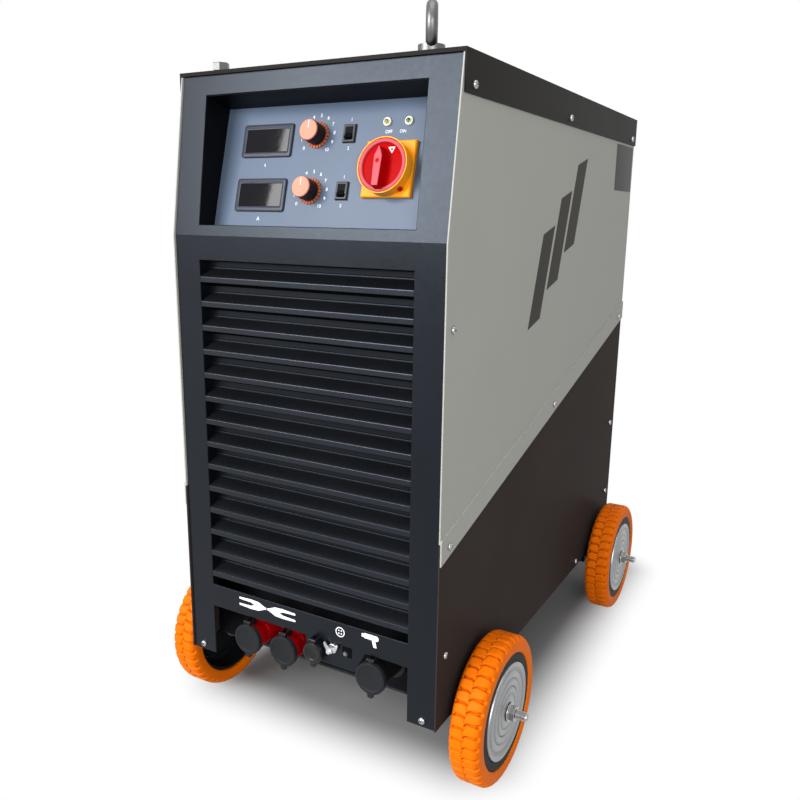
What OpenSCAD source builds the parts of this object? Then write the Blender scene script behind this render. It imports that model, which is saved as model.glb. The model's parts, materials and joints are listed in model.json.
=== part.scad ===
// Floor-standing stud welder on four wheels, in millimetres.
// The front faces -Y, +Z is up, and the origin lies on the floor under the middle of the machine.

/* [Cabinet] */
// Width over the side panels
cab_w = 400; // [360:1:460]
// Depth from the lower front face to the rear face
cab_d = 753; // [700:1:850]
// Height from the bottom edge of the legs to the top of the cover
cab_h = 794; // [760:1:860]
// Thickness of the folded sheets
sheet_t = 2; // [1.5:0.1:3]
// How far the side panels stand out in front of the front panel
edge_lip = 2.5; // [0.5:0.1:4]
// Depth of the folded flanges that the side panels are screwed to
flange_d = 18; // [14:1:26]
// Slack between a folded flange and the sheet beside it
sheet_gap = 0.5; // [0.2:0.1:1]

/* [Front panel] */
// Height of the fascia above the window
fascia_top = 29; // [24:1:40]
// How far the fascia leans back by the time it meets the top
fascia_setback = 29; // [20:1:40]
// Height of the window's lower edge above the fold
window_low = 13; // [8:1:16]
// Height of the window
window_h = 159; // [150:1:165]
// Width of each leg, and of the sheet beside the window and the air opening
leg_w = 40; // [32:1:46]
// Height of the apron's lower edge
apron_low = 75; // [72:1:80]
// Width of the tongue that carries the control socket, at its foot
tongue_w = 77; // [74:1:84]
// How much wider the tongue is at the apron
tongue_flare = 17; // [8:1:18]
// Height of the tongue's lower edge
tongue_low = 44; // [40:1:46]
// Side of the square access hole
access_hole = 15; // [10:1:16]
// Place of the square access hole from the tongue's left end
access_in = 66; // [64:1:67]
// Height of the middle of the square access hole
access_z = 69; // [66:1:72]

/* [Louvre] */
// Lower edge of the air opening
louvre_low = 108; // [106:1:112]
// Height of the plain sheet between the air opening and the fold
louvre_top = 31; // [24:1:40]
// Drop from the upper edge of the opening to the first blade
blade_top_gap = 21.5; // [19:0.5:26]
// Height of the last blade above the lower edge of the opening
blade_low_gap = 20; // [12:0.5:24]
// Number of blades
blade_count = 14; // [10:1:14]
// Height of the front lip of a blade
blade_lip = 7; // [5:0.5:9]
// Depth of a blade
blade_d = 26; // [20:1:30]
// Rise of a blade from its lip to its back edge
blade_rise = 16; // [12:1:18]
// Thickness of a blade
blade_t = 1.6; // [1:0.1:2]

/* [Control panel] */
// Depth of the recess at its lower edge
recess_low_d = 29; // [24:1:34]
// Lean of the control panel from upright
panel_lean = 14.5; // [10:0.5:17]
// Thickness of the recess walls
shroud_t = 1.5; // [1:0.1:2]
// Drop of the recess's roof from the window to the control panel
roof_drop = 11.84; // [8:0.01:16]
// Rim of the control panel behind the recess walls
panel_rim = 8; // [5:1:10]
// Thickness of the control panel
panel_t = 2; // [1.5:0.1:3]
// Distance between the two rows of controls
row_pitch = 69; // [60:1:76]
// How far the rows' middle lies above the panel's middle
row_up = 2.5; // [0:0.5:4]
// Gaps across the panel, from its left end: meters, dials, rockers, main switch, right end
panel_gaps = [32, 20, 22, 21, 27];

/* [Meters] */
// Width of a meter bezel
meter_w = 78; // [74:1:82]
// Height of a meter bezel
meter_h = 42; // [40:1:46]
// How far the bezel stands proud
meter_proud = 3; // [2.5:0.5:5]
// Width of the meter frame round its window
meter_frame = 5.5; // [4.5:0.5:8]
// How much lower the meters sit than the knobs beside them
meter_drop = 5; // [0:0.5:8]
// Depth of a meter body behind the panel
meter_body_d = 44; // [35:1:50]
// How much the meter body is smaller than its bezel, on each side
meter_step = 2; // [1.5:0.1:3]

/* [Knobs] */
// Diameter of a knob
knob_d = 26; // [22:1:28]
// Height of a knob's black body
knob_h = 17; // [14:1:20]
// Number of grip flutes on a knob
knob_flutes = 20; // [12:1:24]
// Diameter of the coloured dial ring
dial_d = 33; // [30:1:36]
// Thickness of the dial ring
dial_t = 2; // [1:0.1:3]
// Diameter of the coloured knob cap
knob_cap_d = 25; // [20:0.5:25]
// Diameter of a potentiometer shaft
pot_shaft_d = 6; // [4:0.5:8]
// Diameter of a potentiometer body
pot_d = 24; // [20:1:28]

/* [Rockers] */
// Width of a rocker housing
rocker_w = 17; // [16:1:20]
// Height of a rocker housing
rocker_h = 22; // [20:1:25]
// Thickness of the rocker housing's wall
rocker_wall = 2; // [1.5:0.1:2.5]
// Full swing of a rocker in degrees
rocker_swing = 24; // [16:1:26]

/* [Main switch] */
// How far the main switch sits below the middle of the panel
switch_drop = 10; // [4:1:12]
// Side of the yellow plate
switch_plate_w = 66; // [60:1:70]
// Thickness of the yellow plate
switch_plate_t = 6; // [4:0.5:8]
// Diameter of the yellow cup round the handle
switch_collar_d = 65; // [62:1:66]
// Height of the cup
switch_collar_h = 14.5; // [12:0.5:18]
// Wall of the cup beside the handle, with the gap that lets it turn
switch_cup_wall = 2; // [1.5:0.1:3]
// Thickness of the red disc's sunken face
switch_disc_t = 2.5; // [2:0.5:4]
// Width of the raised rim round the red disc
switch_rim_w = 5; // [3:0.5:7]
// Height of the rim above the red disc's face
switch_rim_h = 3; // [2:0.5:5]
// Width of the grip bar at its shoulders
grip_w = 10; // [9:0.5:14]
// Width of the grip bar at its lower end
grip_foot_w = 8; // [6:1:10]
// Height of the grip bar above the rim
grip_rise = 10; // [6:0.5:14]
// Distance of the grip bar's point from the edge of the disc
grip_tip_edge = 12.5; // [9:0.5:16]
// Distance of the grip bar's lower end from the edge of the disc
grip_foot_edge = 3; // [2:0.5:6]
// Diameter of the switch spindle
spindle_d = 10; // [8:0.5:12]
// Width of the switch body behind the panel
switch_body_w = 48; // [40:1:56]
// Depth of the switch body behind the panel
switch_body_d = 55; // [40:1:65]

/* [Lamps] */
// Distance of the left lamp from the main switch's middle
lamp_left = 12; // [10:1:18]
// Distance between the lamps
lamp_pitch = 29; // [26:1:34]
// Height of the lamps above the upper row
lamp_up = 12; // [10:1:18]
// Diameter of a lamp bezel
lamp_d = 10; // [8:0.5:12]

/* [Top cover] */
// Height of the cover's side flanges
cap_flange_h = 45; // [38:1:50]
// Height of the cover's front lip
cap_lip_h = 2.5; // [2:0.5:9]
// Distance of the lifting holes from the sides
lift_side = 50; // [40:1:60]
// Distance of the lifting holes from the cover's front and rear edge
lift_inset = 20; // [18:1:26]
// Depth of the top flanges that the lifting bolts pass through
lift_flange_d = 34; // [32:1:45]
// Outer diameter of an eyebolt ring
eye_d = 54; // [46:1:60]
// Thickness of an eyebolt ring
eye_t = 13; // [10:0.5:14]
// Diameter of an eyebolt collar
eye_collar_d = 30; // [26:1:34]
// Turn of the eyebolt ring about its thread
eye_turn = 27; // [0:1:60]
// Thread diameter of the eyebolts and lid bolts
lift_thread_d = 12; // [10:1:16]
// Distance across the flats of a lid bolt
lid_bolt_af = 24; // [19:1:27]
// Height of a lid bolt head
lid_bolt_h = 12; // [8:1:13]

/* [Side panels] */
// Thickness of the side panels
side_t = 2; // [1.5:0.1:2.5]
// Height of the slanted seam at the front edge
seam_front_h = 248; // [235:1:260]
// Slope of the seam in degrees
seam_angle = 15.9; // [12:0.1:18]
// Height of the stepped strip below the seam
seam_strip_h = 27; // [22:1:32]
// Overlap where the stepped strip joins the panel
seam_joint = 5; // [3:0.5:7]

/* [Screws] */
// Diameter of a panel screw head
screw_d = 9; // [7:0.5:10]
// Height of a panel screw head
screw_h = 2.6; // [2:0.1:3]
// Cover's first screw behind its front edge
cover_screw_front = 22; // [14:1:40]
// Cover's last screw in front of the rear face
cover_screw_rear = 26; // [14:1:40]
// Cover screws above the lower edge of the cover's flange
cover_screw_up = 10; // [7:1:14]
// Rear screws of the side panels in front of the rear face
rear_screw_in = 28; // [14:1:40]
// Height of the middle rear screw
rear_screw_h = 235; // [150:1:300]
// Height of the lowest screws at the front and at the rear
low_screw_h = 96; // [60:1:120]
// Front screw of the upper panel below the fold
fold_screw_drop = 95; // [60:1:140]
// Screw into the base pan's rim in front of the rear face
pan_screw_in = 197; // [120:1:260]

/* [Wheels] */
// Diameter of a wheel
wheel_d = 197; // [180:1:210]
// Width of a wheel
wheel_w = 43; // [38:1:48]
// Gap between the side panel and the wheel
wheel_gap = 10.5; // [9:0.5:14]
// Depth of the axle centre below the cabinet
axle_drop = 14.5; // [13:0.5:18]
// Front axle behind the front face
front_axle_y = 105; // [100:1:120]
// Rear axle in front of the rear face
rear_axle_in = 77; // [65:1:110]
// Thickness of the tyre from the tread to the rim
tyre_wall = 21.5; // [18:0.5:28]
// Width of the band between the tyre and the pressed disc
rim_band = 14; // [10:1:18]
// Gap between an axle's collars and the cabinet above them
collar_gap = 1; // [0.5:0.1:2]
// Number of lugs round the tread, in each row
lug_count = 40; // [32:1:44]
// Depth of the grooves between the lugs
lug_depth = 3; // [2:0.5:4]
// Width of the grooves between the lugs
lug_groove = 2.8; // [2:0.1:4]
// Diameter of the axles
axle_d = 20; // [16:1:24]
// Diameter of the axles' threaded ends
axle_end_d = 12; // [10:1:14]
// Length of the axle ends outside the hubs
axle_end_l = 27; // [22:1:32]
// Distance across the flats of an axle nut
axle_nut_af = 19; // [17:1:22]
// Thickness of an axle nut
axle_nut_t = 8; // [6:0.5:10]
// Diameter of the washer under an axle nut
axle_washer_d = 26; // [24:1:32]
// Thickness of the washer under an axle nut
axle_washer_t = 2; // [1:0.5:3]

/* [Sockets] */
// Gaps across the foot, from the left leg: two earth sockets, tongue, gun socket, right leg
socket_gaps = [41, 13, 11, 3, 27];
// Gap between the hinges of the earth lids and the apron above them
lid_head_gap = 4.6; // [1:0.1:6]
// Gap between the hinge of the gun lid and the apron above it
gun_head_gap = 1.2; // [1:0.1:6]
// Diameter of a weld socket lid
weld_lid_d = 44; // [40:1:46]
// Place of the control socket from the tongue's left end
control_in = 18; // [17:1:20]
// Height of the control socket
control_socket_z = 59; // [57:1:60]
// Diameter of the control socket lid
control_lid_d = 29; // [26:1:30]
// Thickness of a lid
lid_t = 7; // [5:0.5:8]
// Front face of the connector plate behind the front panel
connector_y = 50; // [46:1:60]
// Height of the connector plate
connector_h = 125; // [115:1:140]
// Diameter of the bore in a weld contact
contact_bore_d = 13.2; // [10:0.1:14]
// Outer diameter of a weld contact
contact_d = 21; // [19:0.5:22]
// Distance of the earth stud from the edge of the control socket's lid
earth_step = 10.5; // [10.5:0.5:13]
// Height of the earth stud
earth_z = 68; // [66:1:70]

/* [Rear and inside] */
// Least wall of the fan frame round its duct
fan_wall = 7; // [4:0.5:12]
// Gap between the fan's blades and its duct
fan_tip_gap = 2; // [1:0.5:4]
// Depth of the fan frame
fan_depth = 52; // [40:1:60]
// Drop from the top of the cabinet to the fan's middle
fan_drop = 234; // [180:1:300]
// Diameter of the fan rotor
fan_d = 182; // [150:1:186]
// Number of fan blades
fan_blades = 7; // [5:1:9]
// Pitch of the slots in the rear grille
grille_pitch = 14; // [12:1:18]
// Height of a slot in the rear grille
grille_slot = 7; // [5:0.5:9]
// Bore of the mains cable gland
gland_bore_d = 18; // [14:0.5:22]
// Height of the mains cable gland
gland_z = 150; // [120:1:200]
// Height of the heat sink
sink_h = 110; // [90:1:130]
// Length of the heat sink
sink_l = 240; // [200:1:280]
// Number of fins on the heat sink
sink_fins = 11; // [8:1:13]
// Thickness of the heat sink's plate
sink_plate = 14; // [8:1:20]
// Thickness of a heat sink fin
fin_t = 5; // [2:0.5:7]
// Height of a power module
module_h = 30; // [20:1:40]
// Gap between the power modules, and at the ends of the heat sink
module_gap = 8; // [4:1:14]
// Gap between the power modules and the sides of the heat sink
module_edge = 9; // [4:1:14]
// Diameter of a capacitor
cap_d = 64; // [50:1:70]
// Height of a capacitor
cap_h = 115; // [90:1:140]
// Distance between the capacitors along the heat sink
cap_pitch = 80; // [74:1:84]
// Gap on each side of the capacitors
cap_gap = 10.75; // [4:0.25:14]
// Width of a magnetic core
core_w = 150; // [130:1:170]
// Height of a magnetic core
core_h = 130; // [110:1:150]
// Depth of a magnetic core
core_d = 60; // [50:1:70]
// Width of a core's legs
core_leg = 32; // [26:1:36]
// Gap round a coil in the windows of its core
coil_gap = 2; // [1:0.1:3]
// Distance of the control board behind the control panel
board_post = 70; // [60:1:90]
// Height of the control board
board_h = 100; // [80:1:120]
// Thickness of the control board
board_t = 1.6; // [1:0.1:2.4]
// Diameter of the control board's posts
post_d = 8; // [6:0.5:9]
// Distance between the control board's upper and lower posts
post_pitch = 64; // [54:1:70]
// Gap between the posts and what stands beside them
post_gap = 2; // [1:0.1:3]

/* [Clearances] */
// Radial clearance of a part that turns on a pin or shaft
run_gap = 0.05; // [0.02:0.01:0.1]
// Radial clearance between fixed round pieces
fit_gap = 0.1; // [0.05:0.01:0.2]
// Gap between faces that move past each other
face_gap = 0.4; // [0.3:0.1:0.6]

/* [Hidden] */
$fn = 64;
through = 400;
skin = 0.01;
wheel_r = wheel_d / 2;
leg_z = wheel_r + axle_drop;
side_in = cab_w / 2 - side_t;
front_half = side_in - sheet_gap;
open_half = cab_w / 2 - leg_w - side_t;
window_w = 2 * open_half;
louvre_w = 2 * open_half;
fold_h = cab_h - fascia_top - window_h - window_low;
louvre_h = fold_h - louvre_top - louvre_low;
fascia_slope = fascia_setback / (cab_h - fold_h);
top_under = cab_h - sheet_t;
cap_front_y = fascia_setback - 1.5 * edge_lip;
cap_lip_z = cab_h - sheet_t - cap_lip_h - sheet_gap;
lift_thread_l = 16;
eye_collar_h = 8;
weld_lid_y = -lid_t - face_gap;
control_flange_t = 5;
control_barrel_l = 22;
control_wall = 2;
control_end = 8;
stud_r = 3;
stud_out = 12;
stud_in = 14;
wing_hub_r = 5.5;
wing_hub_l = 7;
wing_w = 3.4;
wing_t = 2.6;
wing_l = 11;
wing_lean = 28;
control_lid_y = weld_lid_y - control_flange_t;
rear_axle_y = cab_d - rear_axle_in;
rear_reach = rear_axle_y + wheel_r;
mid_y = (rear_reach + control_lid_y) / 2;

window_z = fold_h + window_low;
recess_y = fascia_slope * window_low + recess_low_d;
recess_z = window_z;
panel_face_h = (window_h - roof_drop) / cos(panel_lean);
panel_top_y = recess_y + panel_face_h * sin(panel_lean);
panel_top_z = recess_z + panel_face_h * cos(panel_lean);
window_top = window_z + window_h;

blade_first = louvre_low + louvre_h - blade_top_gap;
blade_pitch = (louvre_h - blade_top_gap - blade_low_gap) / (blade_count - 1);

row_mid = panel_face_h / 2 + row_up;
row_low = row_mid - row_pitch / 2;
row_high = row_mid + row_pitch / 2;
switch_s = row_mid - switch_drop;
lamp_s = row_high + lamp_up;
panel_items = [meter_w, dial_d, rocker_w, switch_plate_w];
meter_x = in_row(panel_items, panel_gaps, window_w, 0);
knob_x = in_row(panel_items, panel_gaps, window_w, 1);
rocker_x = in_row(panel_items, panel_gaps, window_w, 2);
switch_x = in_row(panel_items, panel_gaps, window_w, 3);
lamp_x = switch_x - lamp_left;
lift_x = cab_w / 2 - lift_side;

pan_t = 3;
pan_rim_h = 24;
hub_r = 24;
nut_gap = 0.3;
bracket_w = 36;
bracket_d = 50;
bracket_wall = 6;
bracket_out = side_in - 8;
axle_collar_r = axle_drop - collar_gap;
rim_d = wheel_d - 2 * tyre_wall;
hub_disc_d = rim_d - 2 * rim_band;
wheel_in = cab_w / 2 + wheel_gap;
hub_face = wheel_w + 1;
hub_out = wheel_in + hub_face;
rim_metal_t = 4;
rim_set = 5;
axle_step = hub_out + nut_gap;
shoulder_r = 11;
tyre_bead = 4;
mid_rib = 0.6;

socket_flange_d = weld_lid_d + 4;
socket_shank_l = 28;
contact_front = 8;
collar_wall = 3;
hinge_pin_d = 2.2;
hinge_r = 2.4;
hinge_w = 6;
ear_w = 1.8;
hinge_clear = 0.6;
lid_tab = 8;
lid_tab_w = 10;
lid_round = 1.5;
lid_dish = 1.2;
lid_ring = 5;
weld_hinge_up = weld_lid_d / 2 + hinge_r + hinge_clear;
control_hinge_up = control_lid_d / 2 + hinge_r + hinge_clear;
lid_head_gaps = [lid_head_gap, lid_head_gap, gun_head_gap];
weld_socket_z = [for (gap = lid_head_gaps) apron_low - gap - hinge_r - weld_hinge_up];
foot_items = [socket_flange_d, socket_flange_d, tongue_w, socket_flange_d];
weld_socket_x = [for (i = [0, 1, 3]) in_row(foot_items, socket_gaps, 2 * open_half, i)];
tongue_left = in_row(foot_items, socket_gaps, 2 * open_half, 2) - tongue_w / 2;
tongue_right = tongue_left + tongue_w;
control_socket_x = tongue_left + control_in;
earth_x = control_socket_x + control_lid_d / 2 + earth_step;
access_x = tongue_left + access_in;

rocker_proud = 3;
rocker_liner = 1;
rocker_body_d = 18;
rocker_well_d = 7;
rocker_pin_d = 2.4;
rocker_rise = 4.4;
rocker_foot = 3.5;
bezel_cut = 1.5;
rim_cut = 0.8;
glass_t = 1.2;
glass_sunk = 2;
glass_rise = 1;
pot_l = 12;
shaft_in = 6;
flute_d = 2.6;
flute_out = 0.7;
flute_low = 3;
knob_cap_t = 2;
knob_base = dial_t + face_gap;
collar_top = switch_plate_t + switch_collar_h;
switch_d = switch_collar_d - 2 * switch_cup_wall;
cup_floor = collar_top - switch_disc_t - switch_rim_h;
spindle_in = 20;
lamp_nut_t = 4;
lamp_tail = 10;
lamp_proud = 2.5;
rear_in = cab_d - sheet_t;
fan_z = cab_h - fan_drop;
fan_w = fan_d + 2 * (fan_tip_gap + fan_wall);
grille_edge = 4;
grille_rib = 6;
fan_pin_d = 10;
fan_hub_d = 70;
fan_plate_t = 6;
fan_back_gap = 5;

contact_tail = 6;
coil_build = (core_w - 3 * core_leg) / 2 - coil_gap;
coil_depth = core_d + 2 * coil_build;
socket_back = connector_y + socket_shank_l + contact_tail;
inner_gap = (rear_in - fan_depth - socket_back - 2 * coil_depth - sink_l) / 4;
first_core_y = socket_back + inner_gap + coil_build;
core_pitch = coil_depth + inner_gap;
sink_y = first_core_y - coil_build + 2 * core_pitch;
cap_x = front_half - sheet_t - cap_gap - cap_d / 2;
sink_w = 2 * (cap_x - cap_d / 2 - cap_gap);
module_w = (sink_w - 2 * module_gap - 2 * module_edge) / 3;
module_l = (sink_l - 3 * module_gap) / 2;

black = [0.09, 0.09, 0.10];
dark = [0.16, 0.15, 0.15];
pale_grey = [0.62, 0.62, 0.58];
panel_blue = [0.33, 0.37, 0.42];
zinc = [0.72, 0.73, 0.74];
tyre_orange = [1.00, 0.50, 0.05];
dial_orange = [0.93, 0.50, 0.36];
signal_red = [0.75, 0.05, 0.08];
signal_yellow = [0.95, 0.68, 0.10];
lid_grey = [0.24, 0.24, 0.25];
brass = [0.80, 0.65, 0.30];

// Frames of reference

// Cabinet frame: y from the lower front face, z from the bottom edge of the legs
module cab() {
    translate([0, -mid_y, leg_z]) children();
}

// Control panel frame: x across, y up the panel, z out of its face
module on_panel(x, s) {
    cab() translate([0, recess_y, recess_z]) rotate([90 - panel_lean, 0, 0])
        translate([x, s, 0]) children();
}

// A profile drawn in (y, z), extruded across the width and centred
module across(width) {
    rotate([90, 0, 90]) linear_extrude(height = width, center = true) children();
}

// A cylinder along y, from y0 to y1
module along_y(r, y0, y1) {
    translate([0, y0, 0]) rotate([-90, 0, 0]) cylinder(r = r, h = y1 - y0);
}

// A cylinder along x, from x0 to x1
module along_x(r, x0, x1) {
    translate([x0, 0, 0]) rotate([0, 90, 0]) cylinder(r = r, h = x1 - x0);
}

// Sum of the first n values of a list
function total(list, n) = n == 0 ? 0 : list[n - 1] + total(list, n - 1);

// Middle of item i in a row of given width, whose gaps share the room that the items leave
function in_row(items, gaps, width, i) =
    let (share = (width - total(items, len(items))) / total(gaps, len(gaps)))
    total(items, i) + items[i] / 2 + share * total(gaps, i + 1) - width / 2;

function front_y(z) = z < fold_h ? 0 : (z - fold_h) * fascia_slope;

// Front panel and louvre

// Side view of a sheet that follows the front from its foot to the top
module front_profile(depth) {
    polygon([
        [0, 0], [0, fold_h], [front_y(top_under), top_under],
        [front_y(top_under) + depth, top_under], [depth, fold_h], [depth, 0]
    ]);
}

module apron_cuts() {
    across_y() polygon([
        [-open_half, -1], [-open_half, apron_low], [tongue_left, apron_low], [tongue_left, tongue_low],
        [tongue_right, tongue_low], [tongue_right + tongue_flare, apron_low],
        [open_half, apron_low], [open_half, -1]
    ]);
}

// A shape drawn in (x, z), cut right through from front to back
module across_y() {
    translate([0, flange_d + 2, 0]) rotate([90, 0, 0]) linear_extrude(height = 2 * flange_d) children();
}

module front_panel() {
    color(black) cab() difference() {
        union() {
            across(2 * front_half) front_profile(sheet_t);
            for (side = [-1, 1])
                translate([side * (front_half - sheet_t / 2), 0, 0])
                    across(sheet_t) front_profile(flange_d);
            translate([-front_half, front_y(top_under), top_under - sheet_t])
                cube([2 * front_half, lift_flange_d, sheet_t]);
            louvre_returns();
        }
        translate([-window_w / 2, -through / 2, window_z]) cube([window_w, through, window_h]);
        translate([-louvre_w / 2, -1, louvre_low]) cube([louvre_w, through, louvre_h]);
        apron_cuts();
        translate([control_socket_x, 0, control_socket_z])
            along_y(control_barrel_r() + fit_gap, -1, sheet_t + 1);
        translate([earth_x, 0, earth_z]) along_y(stud_r + fit_gap, -1, sheet_t + 1);
        translate([access_x - access_hole / 2, -1, access_z - access_hole / 2])
            cube([access_hole, sheet_t + 2, access_hole]);
        lift_holes();
    }
}

// Folded returns at the sides of the air opening, which hold the blade ends
module louvre_returns() {
    for (side = [-1, 1])
        translate([side * (louvre_w / 2 + sheet_t / 2) - sheet_t / 2, 0, louvre_low])
            cube([sheet_t, blade_d + sheet_t, louvre_h]);
}

// One blade: an upright lip at the front and a plate that rises to the back
module blade() {
    across(louvre_w) polygon([
        [0, -blade_lip], [0, 0], [blade_d, blade_rise], [blade_d + blade_t * 0.5, blade_rise - blade_t],
        [blade_t, -blade_t * 0.6], [blade_t, -blade_lip]
    ]);
}

module louvre_blades() {
    color(black) cab()
        for (i = [0 : blade_count - 1])
            translate([0, 0, blade_first - i * blade_pitch]) blade();
}

// Control recess and control panel

module shroud_side(width) {
    front_low = front_y(window_z - shroud_t) + sheet_t;
    front_high = front_y(window_top + shroud_t) + sheet_t;
    lean_step = shroud_t * tan(panel_lean);
    across(width) polygon([
        [front_low, window_z - shroud_t], [recess_y - lean_step, recess_z - shroud_t],
        [panel_top_y + lean_step, panel_top_z + shroud_t], [front_high, window_top + shroud_t]
    ]);
}

module recess_shroud() {
    outer_w = window_w + 2 * shroud_t;
    past = 2 * shroud_t;
    back_y = past * cos(panel_lean);
    back_z = past * sin(panel_lean);
    color(black) cab() difference() {
        shroud_side(outer_w);
        across(window_w) polygon([
            [front_y(window_z) - 1, window_z], [recess_y, recess_z], [recess_y + back_y, recess_z - back_z],
            [panel_top_y + back_y, panel_top_z - back_z], [panel_top_y, panel_top_z],
            [front_y(window_top) - 1, window_top]
        ]);
    }
}

module control_panel() {
    body_w = meter_w - 2 * meter_step + 2 * fit_gap;
    body_h = meter_h - 2 * meter_step + 2 * fit_gap;
    slot_w = rocker_body_w() + 2 * fit_gap;
    slot_h = rocker_body_h() + 2 * fit_gap;
    color(panel_blue) difference() {
        on_panel(-window_w / 2 - panel_rim, -panel_rim) translate([0, 0, -panel_t])
            cube([window_w + 2 * panel_rim, panel_face_h + 2 * panel_rim, panel_t]);
        for (s = [row_low, row_high]) {
            on_panel(meter_x, meter_s(s)) cube([body_w, body_h, through], center = true);
            on_panel(knob_x, s) through_hole(pot_bush_r() + fit_gap);
            on_panel(rocker_x, s) cube([slot_w, slot_h, through], center = true);
        }
        on_panel(switch_x, switch_s) through_hole(switch_neck_r() + fit_gap);
        for (i = [0, 1])
            on_panel(lamp_x + i * lamp_pitch, lamp_s) through_hole(lamp_d / 4 + fit_gap);
    }
}

module through_hole(r) {
    translate([0, 0, -through / 2]) cylinder(r = r, h = through);
}

function meter_s(s) = s - meter_drop;
function glass_w() = meter_w - 2 * meter_frame;
function glass_h() = meter_h - 2 * (meter_frame + glass_rise);
function pot_bush_r() = pot_shaft_d / 2 + 2;
function rocker_body_w() = rocker_w - 2 * rocker_wall;
function rocker_body_h() = rocker_h - 2 * rocker_wall;
function rocker_well_w() = rocker_body_w() - 2 * rocker_liner;
function switch_neck_r() = spindle_d / 2 + 6;

// A meter: a proud bezel round a sunken window, and a body that passes through the panel
module meter_case() {
    body_w = meter_w - 2 * meter_step;
    body_h = meter_h - 2 * meter_step;
    difference() {
        union() {
            bezel_block(meter_w, meter_h, meter_proud, bezel_cut);
            translate([-body_w / 2, -body_h / 2, -meter_body_d])
                cube([body_w, body_h, meter_body_d + skin]);
        }
        translate([-glass_w() / 2, -glass_h() / 2, meter_proud - glass_sunk])
            cube([glass_w(), glass_h(), 2 * glass_sunk]);
    }
}

// A block with its front edges cut back
module bezel_block(w, h, t, cut) {
    intersection() {
        translate([-w / 2, -h / 2, 0]) cube([w, h, t]);
        rotate([90, 0, 0]) linear_extrude(height = 2 * h, center = true) cut_side(w, t, cut);
        rotate([90, 0, 90]) linear_extrude(height = 2 * w, center = true) cut_side(h, t, cut);
    }
}

module cut_side(w, t, cut) {
    polygon([
        [-w / 2, 0], [w / 2, 0], [w / 2, t - cut], [w / 2 - cut, t], [-w / 2 + cut, t], [-w / 2, t - cut]
    ]);
}

module meter_cases() {
    color(dark)
        for (s = [row_low, row_high])
            on_panel(meter_x, meter_s(s)) meter_case();
}

module meter_windows() {
    color([0.05, 0.05, 0.06])
        for (s = [row_low, row_high])
            on_panel(meter_x, meter_s(s))
                translate([-glass_w() / 2 + fit_gap, -glass_h() / 2 + fit_gap, meter_proud - glass_sunk])
                    cube([glass_w() - 2 * fit_gap, glass_h() - 2 * fit_gap, glass_t]);
}

// Knobs and potentiometers

module dial_rings() {
    color(dial_orange)
        for (s = [row_low, row_high])
            on_panel(knob_x, s) difference() {
                cylinder(d = dial_d, h = dial_t);
                through_hole(pot_bush_r() + fit_gap);
            }
}

// A potentiometer: a can behind the panel and a threaded bush that the shaft turns in
module potentiometers() {
    color(zinc)
        for (s = [row_low, row_high])
            on_panel(knob_x, s) difference() {
                union() {
                    translate([0, 0, -panel_t - pot_l]) cylinder(d = pot_d, h = pot_l);
                    translate([0, 0, -panel_t - skin]) cylinder(r = pot_bush_r(), h = panel_t + dial_t);
                }
                translate([0, 0, -panel_t - shaft_in - 2])
                    cylinder(r = pot_shaft_d / 2 + run_gap, h = through);
            }
}

// A fluted knob with its shaft
module knob(s) {
    on_panel(knob_x, s) difference() {
        union() {
            translate([0, 0, knob_base]) cylinder(d = knob_d, h = knob_h);
            translate([0, 0, -panel_t - shaft_in])
                cylinder(d = pot_shaft_d, h = panel_t + shaft_in + knob_base + skin);
        }
        for (i = [0 : knob_flutes - 1])
            rotate([0, 0, 360 * i / knob_flutes])
                translate([knob_d / 2 + flute_out, 0, knob_base + flute_low])
                    cylinder(d = flute_d, h = knob_h, $fn = 24);
    }
}

module knob_cap(s) {
    on_panel(knob_x, s) translate([0, 0, knob_base + knob_h]) rotate_extrude()
        polygon([
            [0, 0], [knob_cap_d / 2, 0], [knob_cap_d / 2, 0.6 * knob_cap_t],
            [knob_cap_d / 2 - 0.4 * knob_cap_t, knob_cap_t], [0, 1.1 * knob_cap_t]
        ]);
}

module time_knob() { color(black) knob(row_high); }
module time_knob_cap() { color(dial_orange) knob_cap(row_high); }
module current_knob() { color(black) knob(row_low); }
module current_knob_cap() { color(dial_orange) knob_cap(row_low); }

// Rocker switches

module rocker_housings() {
    color(black)
        for (s = [row_low, row_high])
            on_panel(rocker_x, s) difference() {
                union() {
                    bezel_block(rocker_w, rocker_h, rocker_proud, rocker_proud / 3);
                    translate([-rocker_body_w() / 2, -rocker_body_h() / 2, -rocker_body_d])
                        cube([rocker_body_w(), rocker_body_h(), rocker_body_d + skin]);
                }
                translate([-rocker_well_w() / 2, -rocker_body_h() / 2 + rocker_liner, -rocker_well_d])
                    cube([rocker_well_w(), rocker_body_h() - 2 * rocker_liner, through]);
                rocker_pin(run_gap);
            }
}

// The pivot pin across a rocker, or with a gap round it the sockets in the housing
module rocker_pin(gap) {
    reach = rocker_well_w() + rocker_liner + 8 * gap;
    rotate([0, 90, 0]) cylinder(d = rocker_pin_d + 2 * gap, h = reach, center = true, $fn = 32);
}

// A rocker rests with its upper half pressed in
module rocker(s) {
    half = rocker_body_h() / 2 - rocker_liner - 3 * face_gap;
    on_panel(rocker_x, s) rotate([-rocker_swing / 2, 0, 0]) union() {
        across(rocker_well_w() - 2 * face_gap) polygon([
            [-half, -rocker_foot / 7], [-half, rocker_rise], [0, 0.6 * rocker_rise], [half, rocker_rise],
            [half, -rocker_foot / 7], [rocker_foot, -rocker_foot], [-rocker_foot, -rocker_foot]
        ]);
        rocker_pin(0);
    }
}

module control_rocker() { color(dark) rocker(row_high); }
module mode_rocker() { color(dark) rocker(row_low); }

// Main switch and lamps

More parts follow.
